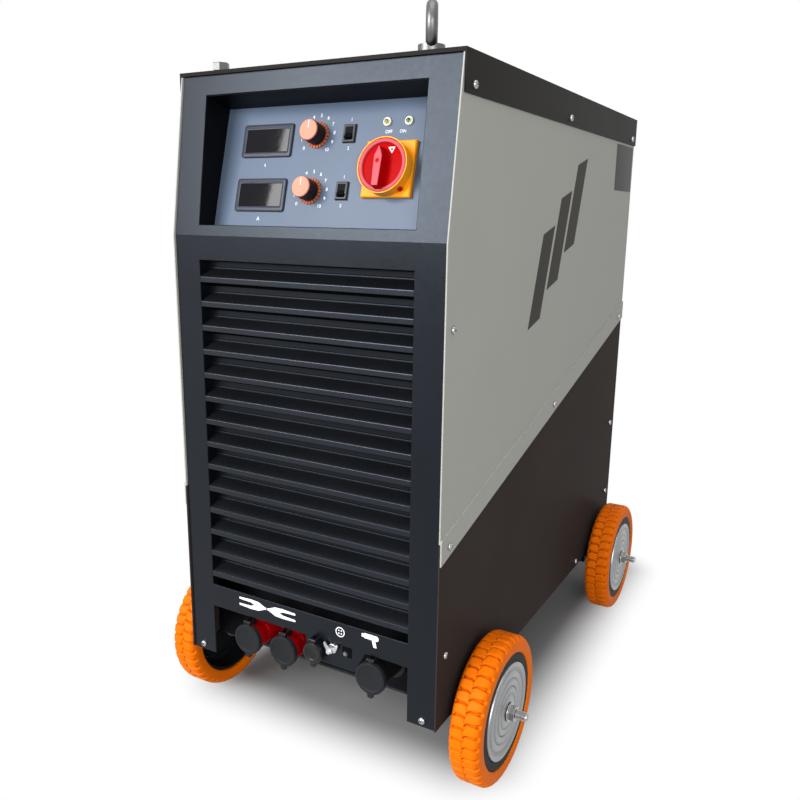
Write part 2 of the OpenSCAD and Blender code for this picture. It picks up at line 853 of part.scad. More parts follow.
module switch_plate() {
    color(signal_yellow) on_panel(switch_x, switch_s) difference() {
        union() {
            bezel_block(switch_plate_w, switch_plate_w, switch_plate_t, bezel_cut);
            translate([0, 0, switch_plate_t - skin])
                cylinder(d = switch_collar_d, h = switch_collar_h + skin);
        }
        translate([0, 0, cup_floor]) cylinder(d = switch_d + 4 * face_gap, h = through);
        through_hole(spindle_d / 2 + run_gap);
    }
}

// The handle: a disc with a raised rim, a pointed grip bar and the spindle that works the switch
module switch_handle() {
    disc_low = cup_floor + face_gap;
    face_z = switch_disc_t;
    rim_z = switch_disc_t + switch_rim_h;
    rim_in = switch_d / 2 - switch_rim_w;
    tip_y = switch_d / 2 - grip_tip_edge;
    foot_y = grip_foot_edge - switch_d / 2;
    shoulder_share = 0.41;
    color(signal_red) on_panel(switch_x, switch_s) union() {
        translate([0, 0, disc_low]) rotate_extrude()
            polygon([
                [0, 0], [switch_d / 2, 0], [switch_d / 2, rim_z - rim_cut], [switch_d / 2 - rim_cut, rim_z],
                [rim_in + rim_cut, rim_z], [rim_in, face_z], [0, face_z]
            ]);
        translate([0, 0, disc_low + face_z - skin]) linear_extrude(height = switch_rim_h + grip_rise)
            polygon([
                [-grip_foot_w / 2, foot_y], [grip_foot_w / 2, foot_y], [grip_w / 2, shoulder_share * tip_y],
                [0, tip_y], [-grip_w / 2, shoulder_share * tip_y]
            ]);
        translate([0, 0, -panel_t - spindle_in])
            cylinder(d = spindle_d, h = panel_t + spindle_in + disc_low + skin);
    }
}

module switch_body() {
    color(dark) on_panel(switch_x, switch_s) difference() {
        union() {
            translate([-switch_body_w / 2, -switch_body_w / 2, -panel_t - switch_body_d])
                cube([switch_body_w, switch_body_w, switch_body_d]);
            translate([0, 0, -panel_t - skin]) cylinder(r = switch_neck_r(), h = panel_t);
        }
        translate([0, 0, -panel_t - spindle_in - 2]) cylinder(r = spindle_d / 2 + run_gap, h = through);
    }
}

module indicator_lamps() {
    color([0.85, 0.87, 0.78])
        for (i = [0, 1])
            on_panel(lamp_x + i * lamp_pitch, lamp_s) union() {
                cylinder(d = lamp_d, h = lamp_proud);
                cylinder(d = 0.6 * lamp_d, h = 1.6 * lamp_proud);
                translate([0, 0, -panel_t - lamp_tail])
                    cylinder(d = lamp_d / 2, h = panel_t + lamp_tail + skin);
                translate([0, 0, -panel_t - lamp_nut_t]) cylinder(d = lamp_d, h = lamp_nut_t);
            }
}

// Top cover and lifting hardware

module top_cover() {
    wide = cab_w + 2 * sheet_t;
    deep = cab_d + sheet_t - cap_front_y;
    color(black) cab() difference() {
        translate([-wide / 2, cap_front_y, cab_h - cap_flange_h]) cube([wide, deep, cap_flange_h]);
        translate([-cab_w / 2, cap_front_y - 1, cab_h - cap_flange_h - 1])
            cube([cab_w, cab_d - cap_front_y + 1, cap_flange_h + 1 - sheet_t - cap_lip_h]);
        translate([-cab_w / 2, cap_front_y + sheet_t, cab_h - sheet_t - cap_lip_h - 1])
            cube([cab_w, cab_d - cap_front_y - sheet_t, cap_lip_h + 1]);
        lift_holes();
    }
}

// Holes for the lifting bolts, through the cover and the flanges under it
module lift_holes() {
    for (p = concat(eye_places(), bolt_places()))
        translate([p[0], p[1], top_under - 2 * sheet_t])
            cylinder(d = lift_thread_d + 2 * fit_gap, h = 5 * sheet_t);
}

function lift_front() = cap_front_y + lift_inset;
function lift_rear() = cab_d - lift_inset;
function eye_places() = [[lift_x, lift_front()], [-lift_x, lift_rear()]];
function bolt_places() = [[-lift_x, lift_front()], [lift_x, lift_rear()]];

// An eyebolt: thread, collar and ring
module eyebolt() {
    ring_mid = (eye_d - eye_t) / 2;
    translate([0, 0, -lift_thread_l]) cylinder(d = lift_thread_d, h = lift_thread_l + skin);
    cylinder(d = eye_collar_d, h = eye_collar_h);
    translate([0, 0, eye_d / 2]) rotate([90, 0, 90])
        rotate_extrude() translate([ring_mid, 0]) circle(d = eye_t, $fn = 32);
}

module eyebolts() {
    color(zinc) cab()
        for (p = eye_places())
            translate([p[0], p[1], cab_h]) rotate([0, 0, eye_turn]) eyebolt();
}

module lid_bolts() {
    color(zinc) cab()
        for (p = bolt_places())
            translate([p[0], p[1], cab_h]) union() {
                cylinder(d = lid_bolt_af / cos(30), h = lid_bolt_h, $fn = 6);
                translate([0, 0, -lift_thread_l]) cylinder(d = lift_thread_d, h = lift_thread_l + skin);
            }
}

// Side panels, rear panel and base

function seam_z(y) = seam_front_h + y * tan(seam_angle);

// Outline of a whole side in (y, z), from the height of the seam up
module upper_outline(low) {
    polygon([
        [-edge_lip, seam_z(-edge_lip) + low], [-edge_lip, fold_h],
        [front_y(cap_lip_z) - edge_lip, cap_lip_z], [cap_front_y + sheet_t + sheet_gap, cap_lip_z],
        [cap_front_y + sheet_t + sheet_gap, top_under], [cab_d, top_under], [cab_d, seam_z(cab_d) + low]
    ]);
}

module lower_outline() {
    polygon([[-edge_lip, 0], [-edge_lip, seam_z(-edge_lip)], [cab_d, seam_z(cab_d)], [cab_d, 0]]);
}

module strip_outline() {
    polygon([
        [-edge_lip, seam_z(-edge_lip) + seam_joint], [-edge_lip, seam_z(-edge_lip) - seam_strip_h],
        [cab_d, seam_z(cab_d) - seam_strip_h], [cab_d, seam_z(cab_d) + seam_joint]
    ]);
}

// The upper panel steps out below the seam, to lap over the lower panel
module upper_panel(side) {
    color(pale_grey) cab() union() {
        translate([side * (cab_w / 2 - side_t / 2), 0, 0]) across(side_t) upper_outline(sheet_gap);
        translate([side * (cab_w / 2 + side_t / 2), 0, 0]) across(side_t) strip_outline();
    }
}

module lower_panel(side) {
    color(dark) cab()
        translate([side * (cab_w / 2 - side_t / 2), 0, 0]) across(side_t) lower_outline();
}

module left_upper_panel() { upper_panel(-1); }
module right_upper_panel() { upper_panel(1); }
module left_lower_panel() { lower_panel(-1); }
module right_lower_panel() { lower_panel(1); }

// Slots across a round field, in front of the fan
module grille_slots() {
    slots = floor(fan_d / grille_pitch / 2);
    intersection() {
        translate([0, rear_in - 1, fan_z]) along_y(fan_d / 2 - grille_edge, 0, sheet_t + 2);
        for (i = [-slots : slots])
            for (half = [-1, 1])
                translate([half * fan_d / 4, cab_d - sheet_t / 2, fan_z + i * grille_pitch])
                    cube([fan_d / 2 - grille_rib, sheet_t + 2, grille_slot], center = true);
    }
}

// Left face of the upright flange that lies against a side panel
function side_sheet(side) = side * (front_half - sheet_t / 2) - sheet_t / 2;

module rear_panel() {
    color(black) cab() difference() {
        union() {
            translate([-front_half, rear_in, 0]) cube([2 * front_half, sheet_t, top_under]);
            for (side = [-1, 1])
                translate([side_sheet(side), cab_d - flange_d, pan_t + pan_rim_h])
                    cube([sheet_t, flange_d, top_under - pan_t - pan_rim_h]);
            translate([-front_half, cab_d - lift_flange_d, top_under - sheet_t])
                cube([2 * front_half, lift_flange_d, sheet_t]);
        }
        lift_holes();
        grille_slots();
        translate([0, rear_in, gland_z]) along_y(gland_neck_r() + fit_gap, -1, sheet_t + 1);
    }
}

module base_pan() {
    deep = rear_in - connector_y;
    color(black) cab() union() {
        translate([-front_half, connector_y, 0]) cube([2 * front_half, deep, pan_t]);
        for (side = [-1, 1])
            translate([side_sheet(side), connector_y, 0]) cube([sheet_t, deep, pan_t + pan_rim_h]);
    }
}

// Screw heads on the sides and on the legs

// Places of the side screws as [y, z, how far the surface stands out]
function side_screws() = concat(
    [for (y = [cap_front_y + cover_screw_front, cab_d / 2, cab_d - cover_screw_rear])
        [y, cab_h - cap_flange_h + cover_screw_up, sheet_t]],
    [for (y = [flange_d, cab_d / 2, cab_d - rear_screw_in]) [y, seam_z(y) - seam_strip_h / 2, side_t]],
    [[flange_d - 3, fold_h - fold_screw_drop, 0], [cab_d - rear_screw_in, rear_screw_h, 0]],
    [[cab_d - rear_screw_in, low_screw_h, 0], [flange_d, low_screw_h, 0]],
    [[cab_d - pan_screw_in, pan_t + pan_rim_h / 3, 0]]
);

module screw_head() {
    r = screw_d / 2;
    rotate_extrude() polygon([
        [0, 0], [r, 0], [r, 0.4 * screw_h], [r - 0.5 * screw_h, screw_h], [0, screw_h]
    ]);
}

module panel_screws() {
    color(zinc) cab() {
        for (side = [-1, 1])
            for (p = side_screws())
                translate([side * (cab_w / 2 + p[2]), p[0], p[1]]) rotate([0, side * 90, 0]) screw_head();
        for (side = [-1, 1])
            translate([side * (cab_w / 2 - leg_w / 2), 0, screw_d]) rotate([90, 0, 0]) screw_head();
    }
}

// Axles and wheels

function axle_places() = [front_axle_y, rear_axle_y];

module axle_brackets() {
    block_low = axle_d / 2 + bracket_wall;
    color(black) cab()
        for (y = axle_places())
            for (side = [-1, 1])
                translate([side * (bracket_out - bracket_w / 2), y, -axle_drop]) difference() {
                    translate([-bracket_w / 2, -bracket_d / 2, -block_low])
                        cube([bracket_w, bracket_d, axle_drop + block_low]);
                    along_x(axle_d / 2 + fit_gap, -bracket_w, bracket_w);
                }
}

// An axle runs right across, with a collar inside each wheel and a threaded end outside it
module axle(y) {
    end_tip = 2;
    color(zinc) cab() translate([0, y, -axle_drop]) union() {
        along_x(axle_d / 2, -axle_step, axle_step);
        along_x(axle_collar_r, bracket_out + nut_gap, wheel_in - nut_gap);
        along_x(axle_collar_r, -wheel_in + nut_gap, -bracket_out - nut_gap);
        for (side = [0, 180])
            rotate([0, 0, side]) translate([axle_step - skin, 0, 0]) rotate([0, 90, 0]) rotate_extrude()
                polygon([[0, 0], [axle_end_d / 2, 0], [axle_end_d / 2, axle_end_l - end_tip],
                    [axle_end_d / 2 - end_tip, axle_end_l], [0, axle_end_l]]);
    }
}

module front_axle() { axle(front_axle_y); }
module rear_axle() { axle(rear_axle_y); }

// A nut on its washer
module axle_nut() {
    difference() {
        union() {
            cylinder(d = axle_washer_d, h = axle_washer_t);
            translate([0, 0, axle_washer_t - skin])
                cylinder(d = axle_nut_af / cos(30), h = axle_nut_t, $fn = 6);
        }
        translate([0, 0, -1]) cylinder(d = axle_end_d + 2 * fit_gap, h = axle_nut_t + axle_washer_t + 2);
    }
}

module axle_nuts() {
    color(zinc) cab()
        for (y = axle_places())
            for (side = [0, 180])
                translate([0, y, -axle_drop]) rotate([0, 0, side]) translate([axle_step, 0, 0])
                    rotate([0, 90, 0]) axle_nut();
}

// Moves a wheel, drawn round z with its outer face up, to its axle
module at_wheel(side, y) {
    cab() translate([side * wheel_in, y, -axle_drop]) rotate([0, side * 90, 0]) children();
}

// One shoulder of the tyre, as points round a quarter circle
function tyre_side(r, half) =
    [for (a = [0 : 15 : 90])
        [r - shoulder_r * (1 - cos(a)), half - shoulder_r * (1 - sin(a))]];

module tyre_profile() {
    top = tyre_side(wheel_r, wheel_w / 2);
    low = [for (i = [len(top) - 1 : -1 : 0]) [top[i][0], -top[i][1]]];
    bead = wheel_w / 2 - tyre_bead;
    polygon(concat([[rim_d / 2 + fit_gap, -bead]], low, top, [[rim_d / 2 + fit_gap, bead]]));
}

// Two rows of grooves, each row half a step round from the other
module tread_grooves() {
    row_w = wheel_w / 2 - tyre_bead;
    for (row = [0, 1])
        for (i = [0 : lug_count - 1])
            rotate([0, 0, 360 * (i + row / 2) / lug_count])
                translate([wheel_r - lug_depth, -lug_groove / 2, row == 0 ? mid_rib : -row_w - mid_rib])
                    cube([2 * lug_depth, lug_groove, row_w]);
}

module tyre(side, y) {
    color(tyre_orange) at_wheel(side, y) translate([0, 0, wheel_w / 2]) difference() {
        rotate_extrude() tyre_profile();
        tread_grooves();
    }
}

// The rim: an outer band, a pressed disc and a hub that turns on the axle
module rim(side, y) {
    wall = rim_metal_t;
    disc_r = hub_disc_d / 2;
    bore_r = axle_d / 2 + run_gap;
    swell_r = disc_r - 2 * wall;
    foot_r = hub_r + 2 * wall;
    dish_r = (swell_r + foot_r) / 2;
    band_z = wheel_w - rim_set;
    groove_z = band_z - wall;
    swell_z = band_z + 1;
    dish_z = band_z - wall / 2;
    foot_z = band_z + wall / 2;
    color(zinc) at_wheel(side, y) rotate_extrude() polygon([
        [bore_r, 0], [hub_r, 0], [hub_r, foot_z - wall], [foot_r, swell_z - wall],
        [dish_r, dish_z - wall], [swell_r, swell_z - wall], [disc_r, groove_z - wall],
        [rim_d / 2 - wall, groove_z - wall], [rim_d / 2 - wall, rim_set],
        [rim_d / 2, rim_set], [rim_d / 2, band_z],
        [disc_r + 1, band_z], [disc_r, groove_z], [swell_r, swell_z], [dish_r, dish_z],
        [foot_r, foot_z], [hub_r - wall, hub_face], [bore_r, hub_face]
    ]);
}

module front_left_tyre() { tyre(-1, front_axle_y); }
module front_right_tyre() { tyre(1, front_axle_y); }
module rear_left_tyre() { tyre(-1, rear_axle_y); }
module rear_right_tyre() { tyre(1, rear_axle_y); }
module front_left_rim() { rim(-1, front_axle_y); }
module front_right_rim() { rim(1, front_axle_y); }
module rear_left_rim() { rim(-1, rear_axle_y); }
module rear_right_rim() { rim(1, rear_axle_y); }

// Weld sockets, control socket and earth stud

module at_weld_socket(i) {
    cab() translate([weld_socket_x[i], 0, weld_socket_z[i]]) children();
}

module at_control_socket() {
    cab() translate([control_socket_x, 0, control_socket_z]) children();
}

function socket_shank_r() = contact_d / 2 + 4;

module connector_plate() {
    color(black) cab() difference() {
        translate([-front_half + sheet_t, connector_y, pan_t])
            cube([2 * (front_half - sheet_t), sheet_t, connector_h - pan_t]);
        for (i = [0 : len(weld_socket_x) - 1])
            translate([weld_socket_x[i], connector_y, weld_socket_z[i]])
                along_y(socket_shank_r() + fit_gap, -1, sheet_t + 1);
    }
}

// Two ears and the pin between them, for a lid whose hinge lies at height up and depth y
module hinge_ears(up, y, back) {
    ear_in = hinge_w / 2 + face_gap;
    foot_d = 5;
    foot_h = 9;
    for (x = [-ear_in - ear_w, ear_in]) {
        translate([x, y, up]) along_x(hinge_r, 0, ear_w);
        translate([x, y, up - hinge_r]) cube([ear_w, back - y, 2 * hinge_r]);
        translate([x, back - foot_d, up - foot_h]) cube([ear_w, foot_d, foot_h]);
    }
    translate([0, y, up]) along_x(hinge_pin_d / 2, -ear_in - ear_w, ear_in + ear_w);
}

// An insulated weld socket: collar, tapered body, flange and shank
module weld_socket() {
    collar_r = weld_lid_d / 2 - 2;
    collar_d = 9;
    flange_t = 6;
    difference() {
        union() {
            rotate([-90, 0, 0]) rotate_extrude() polygon([
                [0, 0], [collar_r, 0], [collar_r, collar_d], [collar_r - 2, collar_d + 4],
                [collar_r - 1, connector_y - flange_t], [socket_flange_d / 2, connector_y - flange_t],
                [socket_flange_d / 2, connector_y], [0, connector_y]
            ]);
            along_y(socket_shank_r(), connector_y - skin, connector_y + socket_shank_l);
            hinge_ears(weld_hinge_up, weld_lid_y + lid_t / 2, collar_d);
        }
        along_y(contact_d / 2 + fit_gap, -1, connector_y + socket_shank_l + 1);
        along_y(collar_r - collar_wall, -1, collar_d - 2);
    }
}

module earth_sockets() {
    color(signal_red)
        for (i = [0, 1])
            at_weld_socket(i) weld_socket();
}

module gun_socket() {
    color(black) at_weld_socket(2) weld_socket();
}

// Brass sleeves that take the plugs of the weld cables
module socket_contacts() {
    color(brass)
        for (i = [0 : len(weld_socket_x) - 1])
            at_weld_socket(i) difference() {
                along_y(contact_d / 2, contact_front, socket_back);
                along_y(contact_bore_d / 2, contact_front - 1, socket_back - 2 * contact_tail);
            }
}

// A flap lid: a dished disc, a pull tab and a knuckle round the hinge pin
module flap_lid(d, up) {
    r = d / 2;
    leaf_t = lid_t - 2 * lid_round;
    difference() {
        union() {
            rotate([-90, 0, 0]) rotate_extrude() polygon([
                [0, lid_dish], [r - lid_ring, lid_dish], [r - lid_ring + 1, 0], [r - 1, 0],
                [r, lid_round], [r, lid_t], [0, lid_t]
            ]);
            translate([-lid_tab_w / 2, lid_round, -r - lid_tab + 2]) cube([lid_tab_w, leaf_t, lid_tab + 2]);
            translate([-hinge_w / 2, lid_round, r - lid_ring]) cube([hinge_w, leaf_t, up - r + lid_ring]);
            translate([0, lid_t / 2, up]) along_x(hinge_r, -hinge_w / 2, hinge_w / 2);
        }
        translate([0, lid_t / 2, up]) along_x(hinge_pin_d / 2 + run_gap, -hinge_w, hinge_w);
    }
}

module weld_lid(i) {
    color(lid_grey) at_weld_socket(i) translate([0, weld_lid_y, 0]) flap_lid(weld_lid_d, weld_hinge_up);
}

module left_earth_lid() { weld_lid(0); }
module right_earth_lid() { weld_lid(1); }
module gun_lid() { weld_lid(2); }

function control_barrel_r() = control_lid_d / 2 - 4;

// The control socket stands in front of the tongue, so its lid lies further out
module control_socket() {
    flange_r = control_lid_d / 2 - 1;
    color(black) at_control_socket() difference() {
        union() {
            along_y(flange_r, -control_flange_t, 0);
            along_y(control_barrel_r(), -skin, control_barrel_l);
            hinge_ears(control_hinge_up, control_lid_y + lid_t / 2, 0);
        }
        along_y(control_barrel_r() - control_wall, -control_flange_t - 1, control_barrel_l - control_end);
    }
}

module control_lid() {
    color(black) at_control_socket() translate([0, control_lid_y, 0])
        flap_lid(control_lid_d, control_hinge_up);
}

// Earth stud with its wing nut, on the tongue
module earth_terminal() {
    color(zinc) cab() translate([earth_x, 0, earth_z]) union() {
        along_y(stud_r, -stud_out, stud_in);
        along_y(wing_hub_r, -wing_hub_l, 0);
        for (side = [-1, 1])
            for (up = [-1, 1])
                translate([side * 2 * stud_r, wing_t - wing_hub_l, up * stud_r])
                    rotate([0, side * up * wing_lean, 0]) cube([wing_w, wing_t, wing_l], center = true);
    }
}

// Rear fittings

function gland_neck_r() = gland_bore_d / 2 + 5;

module cable_gland() {
    nut_t = 6;
    nut_r = gland_neck_r() + 5;
    color(black) cab() translate([0, cab_d, gland_z]) difference() {
        union() {
            along_y(gland_neck_r(), -sheet_t - 10, 4);
            for (y = [0, -sheet_t - nut_t])
                translate([0, y, 0]) rotate([-90, 0, 0]) cylinder(r = nut_r, h = nut_t, $fn = 6);
            along_y(gland_neck_r() + 2, nut_t - skin, nut_t + 12);
        }
        along_y(gland_bore_d / 2, -through, through);
    }
}

// Axial fan behind the rear grille: frame with a motor on three arms, and the rotor
module fan_frame() {
    back = rear_in;
    front = back - fan_depth;
    arm_w = 10;
    hole_out = fan_w / 2 - 10;
    color(black) cab() translate([0, 0, fan_z]) difference() {
        union() {
            difference() {
                translate([-fan_w / 2, front, -fan_w / 2]) cube([fan_w, fan_depth, fan_w]);
                along_y(fan_d / 2 + fan_tip_gap, front - 1, back + 1);
            }
            for (a = [90, 210, 330])
                rotate([0, a, 0]) translate([0, front, -arm_w / 2])
                    cube([fan_d / 2 + fan_tip_gap + 1, fan_plate_t, arm_w]);
            along_y(fan_hub_d / 2, front, front + fan_plate_t);
            along_y(fan_pin_d / 2, front, back - fan_back_gap - 1);
        }
        for (x = [-1, 1])
            for (z = [-1, 1])
                translate([x * hole_out, 0, z * hole_out]) along_y(2.5, front - 1, back + 1);
    }
}

module fan_rotor() {
    low = rear_in - fan_depth + fan_plate_t + face_gap;
    high = rear_in - fan_back_gap;
    root = fan_hub_d / 2 - 4;
    chord = 32;
    blade_reach = sqrt(pow(fan_d / 2, 2) - pow(chord / 2, 2)) - root;
    color(dark) cab() translate([0, 0, fan_z]) difference() {
        union() {
            along_y(fan_hub_d / 2, low, high);
            for (i = [0 : fan_blades - 1])
                rotate([0, 360 * i / fan_blades, 0])
                    translate([root, (low + high) / 2, 0]) rotate([38, 0, 0])
                        translate([0, -1, -chord / 2]) cube([blade_reach, 2, chord]);
        }
        along_y(fan_pin_d / 2 + run_gap, low - 1, rear_in);
    }
}

// Power parts inside

module heat_sink() {
    step = (sink_w - fin_t) / (sink_fins - 1);
    color([0.6, 0.62, 0.65]) cab() translate([-sink_w / 2, sink_y, pan_t]) union() {
        translate([0, 0, sink_h - sink_plate]) cube([sink_w, sink_l, sink_plate]);
        for (i = [0 : sink_fins - 1])
            translate([i * step, 0, 0]) cube([fin_t, sink_l, sink_h - sink_plate + skin]);
    }
}

// Two rows of three modules on the heat sink
module power_modules() {
    color(dark) cab()
        for (column = [-1, 0, 1])
            for (row = [0, 1])
                translate([
                    column * (module_w + module_gap) - module_w / 2,
                    sink_y + module_gap + row * (module_l + module_gap),
                    pan_t + sink_h
                ]) cube([module_w, module_l, module_h]);
}

// A row of capacitors along each side of the heat sink
module capacitors() {
    color([0.10, 0.12, 0.20]) cab()
        for (side = [-1, 1])
            for (i = [-1, 0, 1])
                translate([side * cap_x, sink_y + sink_l / 2 + i * cap_pitch, pan_t])
                    cylinder(d = cap_d, h = cap_h);
}

// A core with two windows for its coil
module core() {
    opening = (core_w - 3 * core_leg) / 2;
    difference() {
        translate([-core_w / 2, 0, 0]) cube([core_w, core_d, core_h]);
        for (side = [-1, 1])
            translate([side * (core_leg + opening) / 2 - opening / 2, -1, core_leg])
                cube([opening, core_d + 2, core_h - 2 * core_leg]);
    }
}

module magnetic_cores() {
    color([0.25, 0.26, 0.28]) cab()
        for (i = [0, 1])
            translate([0, first_core_y + i * core_pitch, pan_t]) core();
}

// Coils round the middle legs
module windings() {
    tall = core_h - 2 * core_leg - coil_gap;
    loose = 2 * fit_gap;
    inner_w = core_leg + 2 * loose;
    inner_d = core_d + 2 * loose;
    outer_w = core_leg + 2 * coil_build;
    color([0.72, 0.40, 0.20]) cab()
        for (i = [0, 1])
            translate([0, first_core_y + i * core_pitch + core_d / 2, pan_t + core_leg]) difference() {
                translate([-outer_w / 2, -coil_depth / 2, 0]) cube([outer_w, coil_depth, tall]);
                translate([-inner_w / 2, -inner_d / 2, -1]) cube([inner_w, inner_d, tall + 2]);
            }
}

// Control board behind the control panel, on posts between the meters and the rockers
module control_board() {
    left = meter_x - meter_w / 2 + meter_step - post_gap - post_d / 2;
    right = knob_x + pot_d / 2 + post_gap + post_d / 2;
    edge = post_d / 2 + 2;
    color([0.05, 0.30, 0.15]) on_panel(0, row_mid - 2) union() {
        translate([left - edge, -board_h / 2, -panel_t - board_post - board_t])
            cube([right - left + 2 * edge, board_h, board_t]);
        for (x = [left, right])
            for (y = [-1, 1])
                translate([x, y * post_pitch / 2, -panel_t - board_post - skin])
                    cylinder(d = post_d, h = board_post + skin);
    }
}

base_pan();
axle_brackets();
front_axle();
rear_axle();
axle_nuts();
front_left_tyre();
front_right_tyre();
rear_left_tyre();
rear_right_tyre();
front_left_rim();
front_right_rim();
rear_left_rim();
rear_right_rim();
front_panel();
louvre_blades();
recess_shroud();
control_panel();
meter_cases();
meter_windows();
dial_rings();
potentiometers();
time_knob();
time_knob_cap();
current_knob();
current_knob_cap();
rocker_housings();
control_rocker();
mode_rocker();
switch_plate();
switch_handle();
switch_body();
indicator_lamps();
top_cover();
left_upper_panel();
right_upper_panel();
left_lower_panel();
right_lower_panel();
rear_panel();
eyebolts();
lid_bolts();
panel_screws();
connector_plate();
earth_sockets();
gun_socket();
socket_contacts();
left_earth_lid();
right_earth_lid();
gun_lid();
control_socket();
control_lid();
earth_terminal();
cable_gland();
fan_frame();
fan_rotor();
heat_sink();
power_modules();
capacitors();
magnetic_cores();
windings();
control_board();
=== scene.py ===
# %% [markdown]
# # A stud welder on four orange wheels
# The machine is a tall sheet-metal cabinet with a control panel set into its sloping fascia, an air
# louvre below it and cable sockets at its foot. Its CAD solids come in first and stay where they are.
# Everything after that gives them their finish, or replaces a plain solid by a finer mesh of the
# same size that rides on the same moving body.

import json
import math

import bmesh
import bpy
from mathutils import Matrix, Vector


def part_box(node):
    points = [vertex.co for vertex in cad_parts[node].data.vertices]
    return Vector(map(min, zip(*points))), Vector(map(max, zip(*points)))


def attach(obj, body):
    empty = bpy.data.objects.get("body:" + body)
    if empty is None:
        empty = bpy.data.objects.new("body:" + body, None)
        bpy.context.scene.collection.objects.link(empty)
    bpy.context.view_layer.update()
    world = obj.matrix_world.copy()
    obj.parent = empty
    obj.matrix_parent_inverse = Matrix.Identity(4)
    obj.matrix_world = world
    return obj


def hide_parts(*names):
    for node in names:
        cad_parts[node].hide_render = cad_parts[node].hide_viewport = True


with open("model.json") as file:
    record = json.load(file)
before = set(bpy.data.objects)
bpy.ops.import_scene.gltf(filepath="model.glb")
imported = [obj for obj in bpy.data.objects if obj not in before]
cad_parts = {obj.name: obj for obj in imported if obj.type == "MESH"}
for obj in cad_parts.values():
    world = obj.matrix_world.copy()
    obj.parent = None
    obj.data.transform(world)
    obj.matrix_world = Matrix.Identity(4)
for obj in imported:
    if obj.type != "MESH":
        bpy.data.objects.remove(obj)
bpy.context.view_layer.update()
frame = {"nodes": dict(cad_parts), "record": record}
nodes = frame["nodes"]

# %% [markdown]
# ## Where things are
# Drawings of a cabinet are easiest to read from its own corner, so lengths are given in millimetres
# with y counted back from the lower front face and z up from the bottom edge of the legs. One
# function turns such a point into Blender's metres, measured from the middle of the floor. Another
# gives the axes of the control panel, which leans back inside its recess.

# %% Two frames of reference
MM = 0.001
LEG_Z = 113.0
MID_Y = 381.05
FASCIA_SLOPE = 29 / 201
WINDOW_SILL = 13
RECESS_DEPTH = 29
PANEL_LEAN = math.radians(14.5)
PANEL_Y = FASCIA_SLOPE * WINDOW_SILL + RECESS_DEPTH
PANEL_Z = 606.0


def cab(x, y, z):
    return Vector((x, y - MID_Y, z + LEG_Z)) * MM


def matrix_of(*columns):
    """A matrix from its three axes and the place of its origin."""
    return Matrix([[c[row] for c in columns] for row in range(3)] + [[0, 0, 0, 1]])


def panel_frame(x, s):
    """Axes of the control panel at a point: x across, y up the panel, z out of its face."""
    up = Vector((0, math.sin(PANEL_LEAN), math.cos(PANEL_LEAN)))
    out = Vector((0, -math.cos(PANEL_LEAN), math.sin(PANEL_LEAN)))
    place = cab(x, PANEL_Y + s * up.y, PANEL_Z + s * up.z)
    return matrix_of(Vector((1, 0, 0)), up, out, place)


print("the panel's foot is at", [round(v, 4) for v in panel_frame(0, 0).translation])

# %% [markdown]
# ## The camera
# The viewpoint stands to the right of the machine at about chest height and looks down a little. A
# camera can be aimed with angles or with a whole matrix. The matrix is clearer here, because the
# small roll of a hand-held camera is then just a turn of two of its axes.

# %% Aim the camera
VIEW_AZIMUTH = math.radians(29.42)
VIEW_DROP = math.radians(13.1)
VIEW_ROLL = math.radians(0.79)
EYE_MM = (583.33, -782.23, 623.06)
FOCAL_SHARE = 799.4 / 800
SENSOR_MM = 36.0
FAR_CLIP = 60


def add_object(name, data):
    made = bpy.data.objects.new(name, data)
    bpy.context.collection.objects.link(made)
    return made


forward = Vector((-math.sin(VIEW_AZIMUTH) * math.cos(VIEW_DROP),
                  math.cos(VIEW_AZIMUTH) * math.cos(VIEW_DROP),
                  -math.sin(VIEW_DROP)))
level_right = Vector((math.cos(VIEW_AZIMUTH), math.sin(VIEW_AZIMUTH), 0))
level_up = level_right.cross(forward)
right = level_right * math.cos(VIEW_ROLL) + level_up * math.sin(VIEW_ROLL)
up = level_up * math.cos(VIEW_ROLL) - level_right * math.sin(VIEW_ROLL)

camera_data = bpy.data.cameras.new("studio_camera")
camera_data.sensor_width = SENSOR_MM
camera_data.lens = SENSOR_MM * FOCAL_SHARE
camera_data.clip_end = FAR_CLIP
camera = add_object("studio_camera", camera_data)
eye = cab(*EYE_MM)
camera.matrix_world = matrix_of(right, up, -forward, eye)
bpy.context.scene.camera = camera
print("camera at", [round(v, 3) for v in eye], "lens", round(camera_data.lens, 2))

# %% [markdown]
# ## Values that flow through a material
# A material is a little network of nodes. Wiring it by hand takes many lines, so one small class
# stands for a value on a wire. Adding or multiplying two such values adds the Math node that does
# it, and any other node comes from a single method that names its type, settings and sockets.

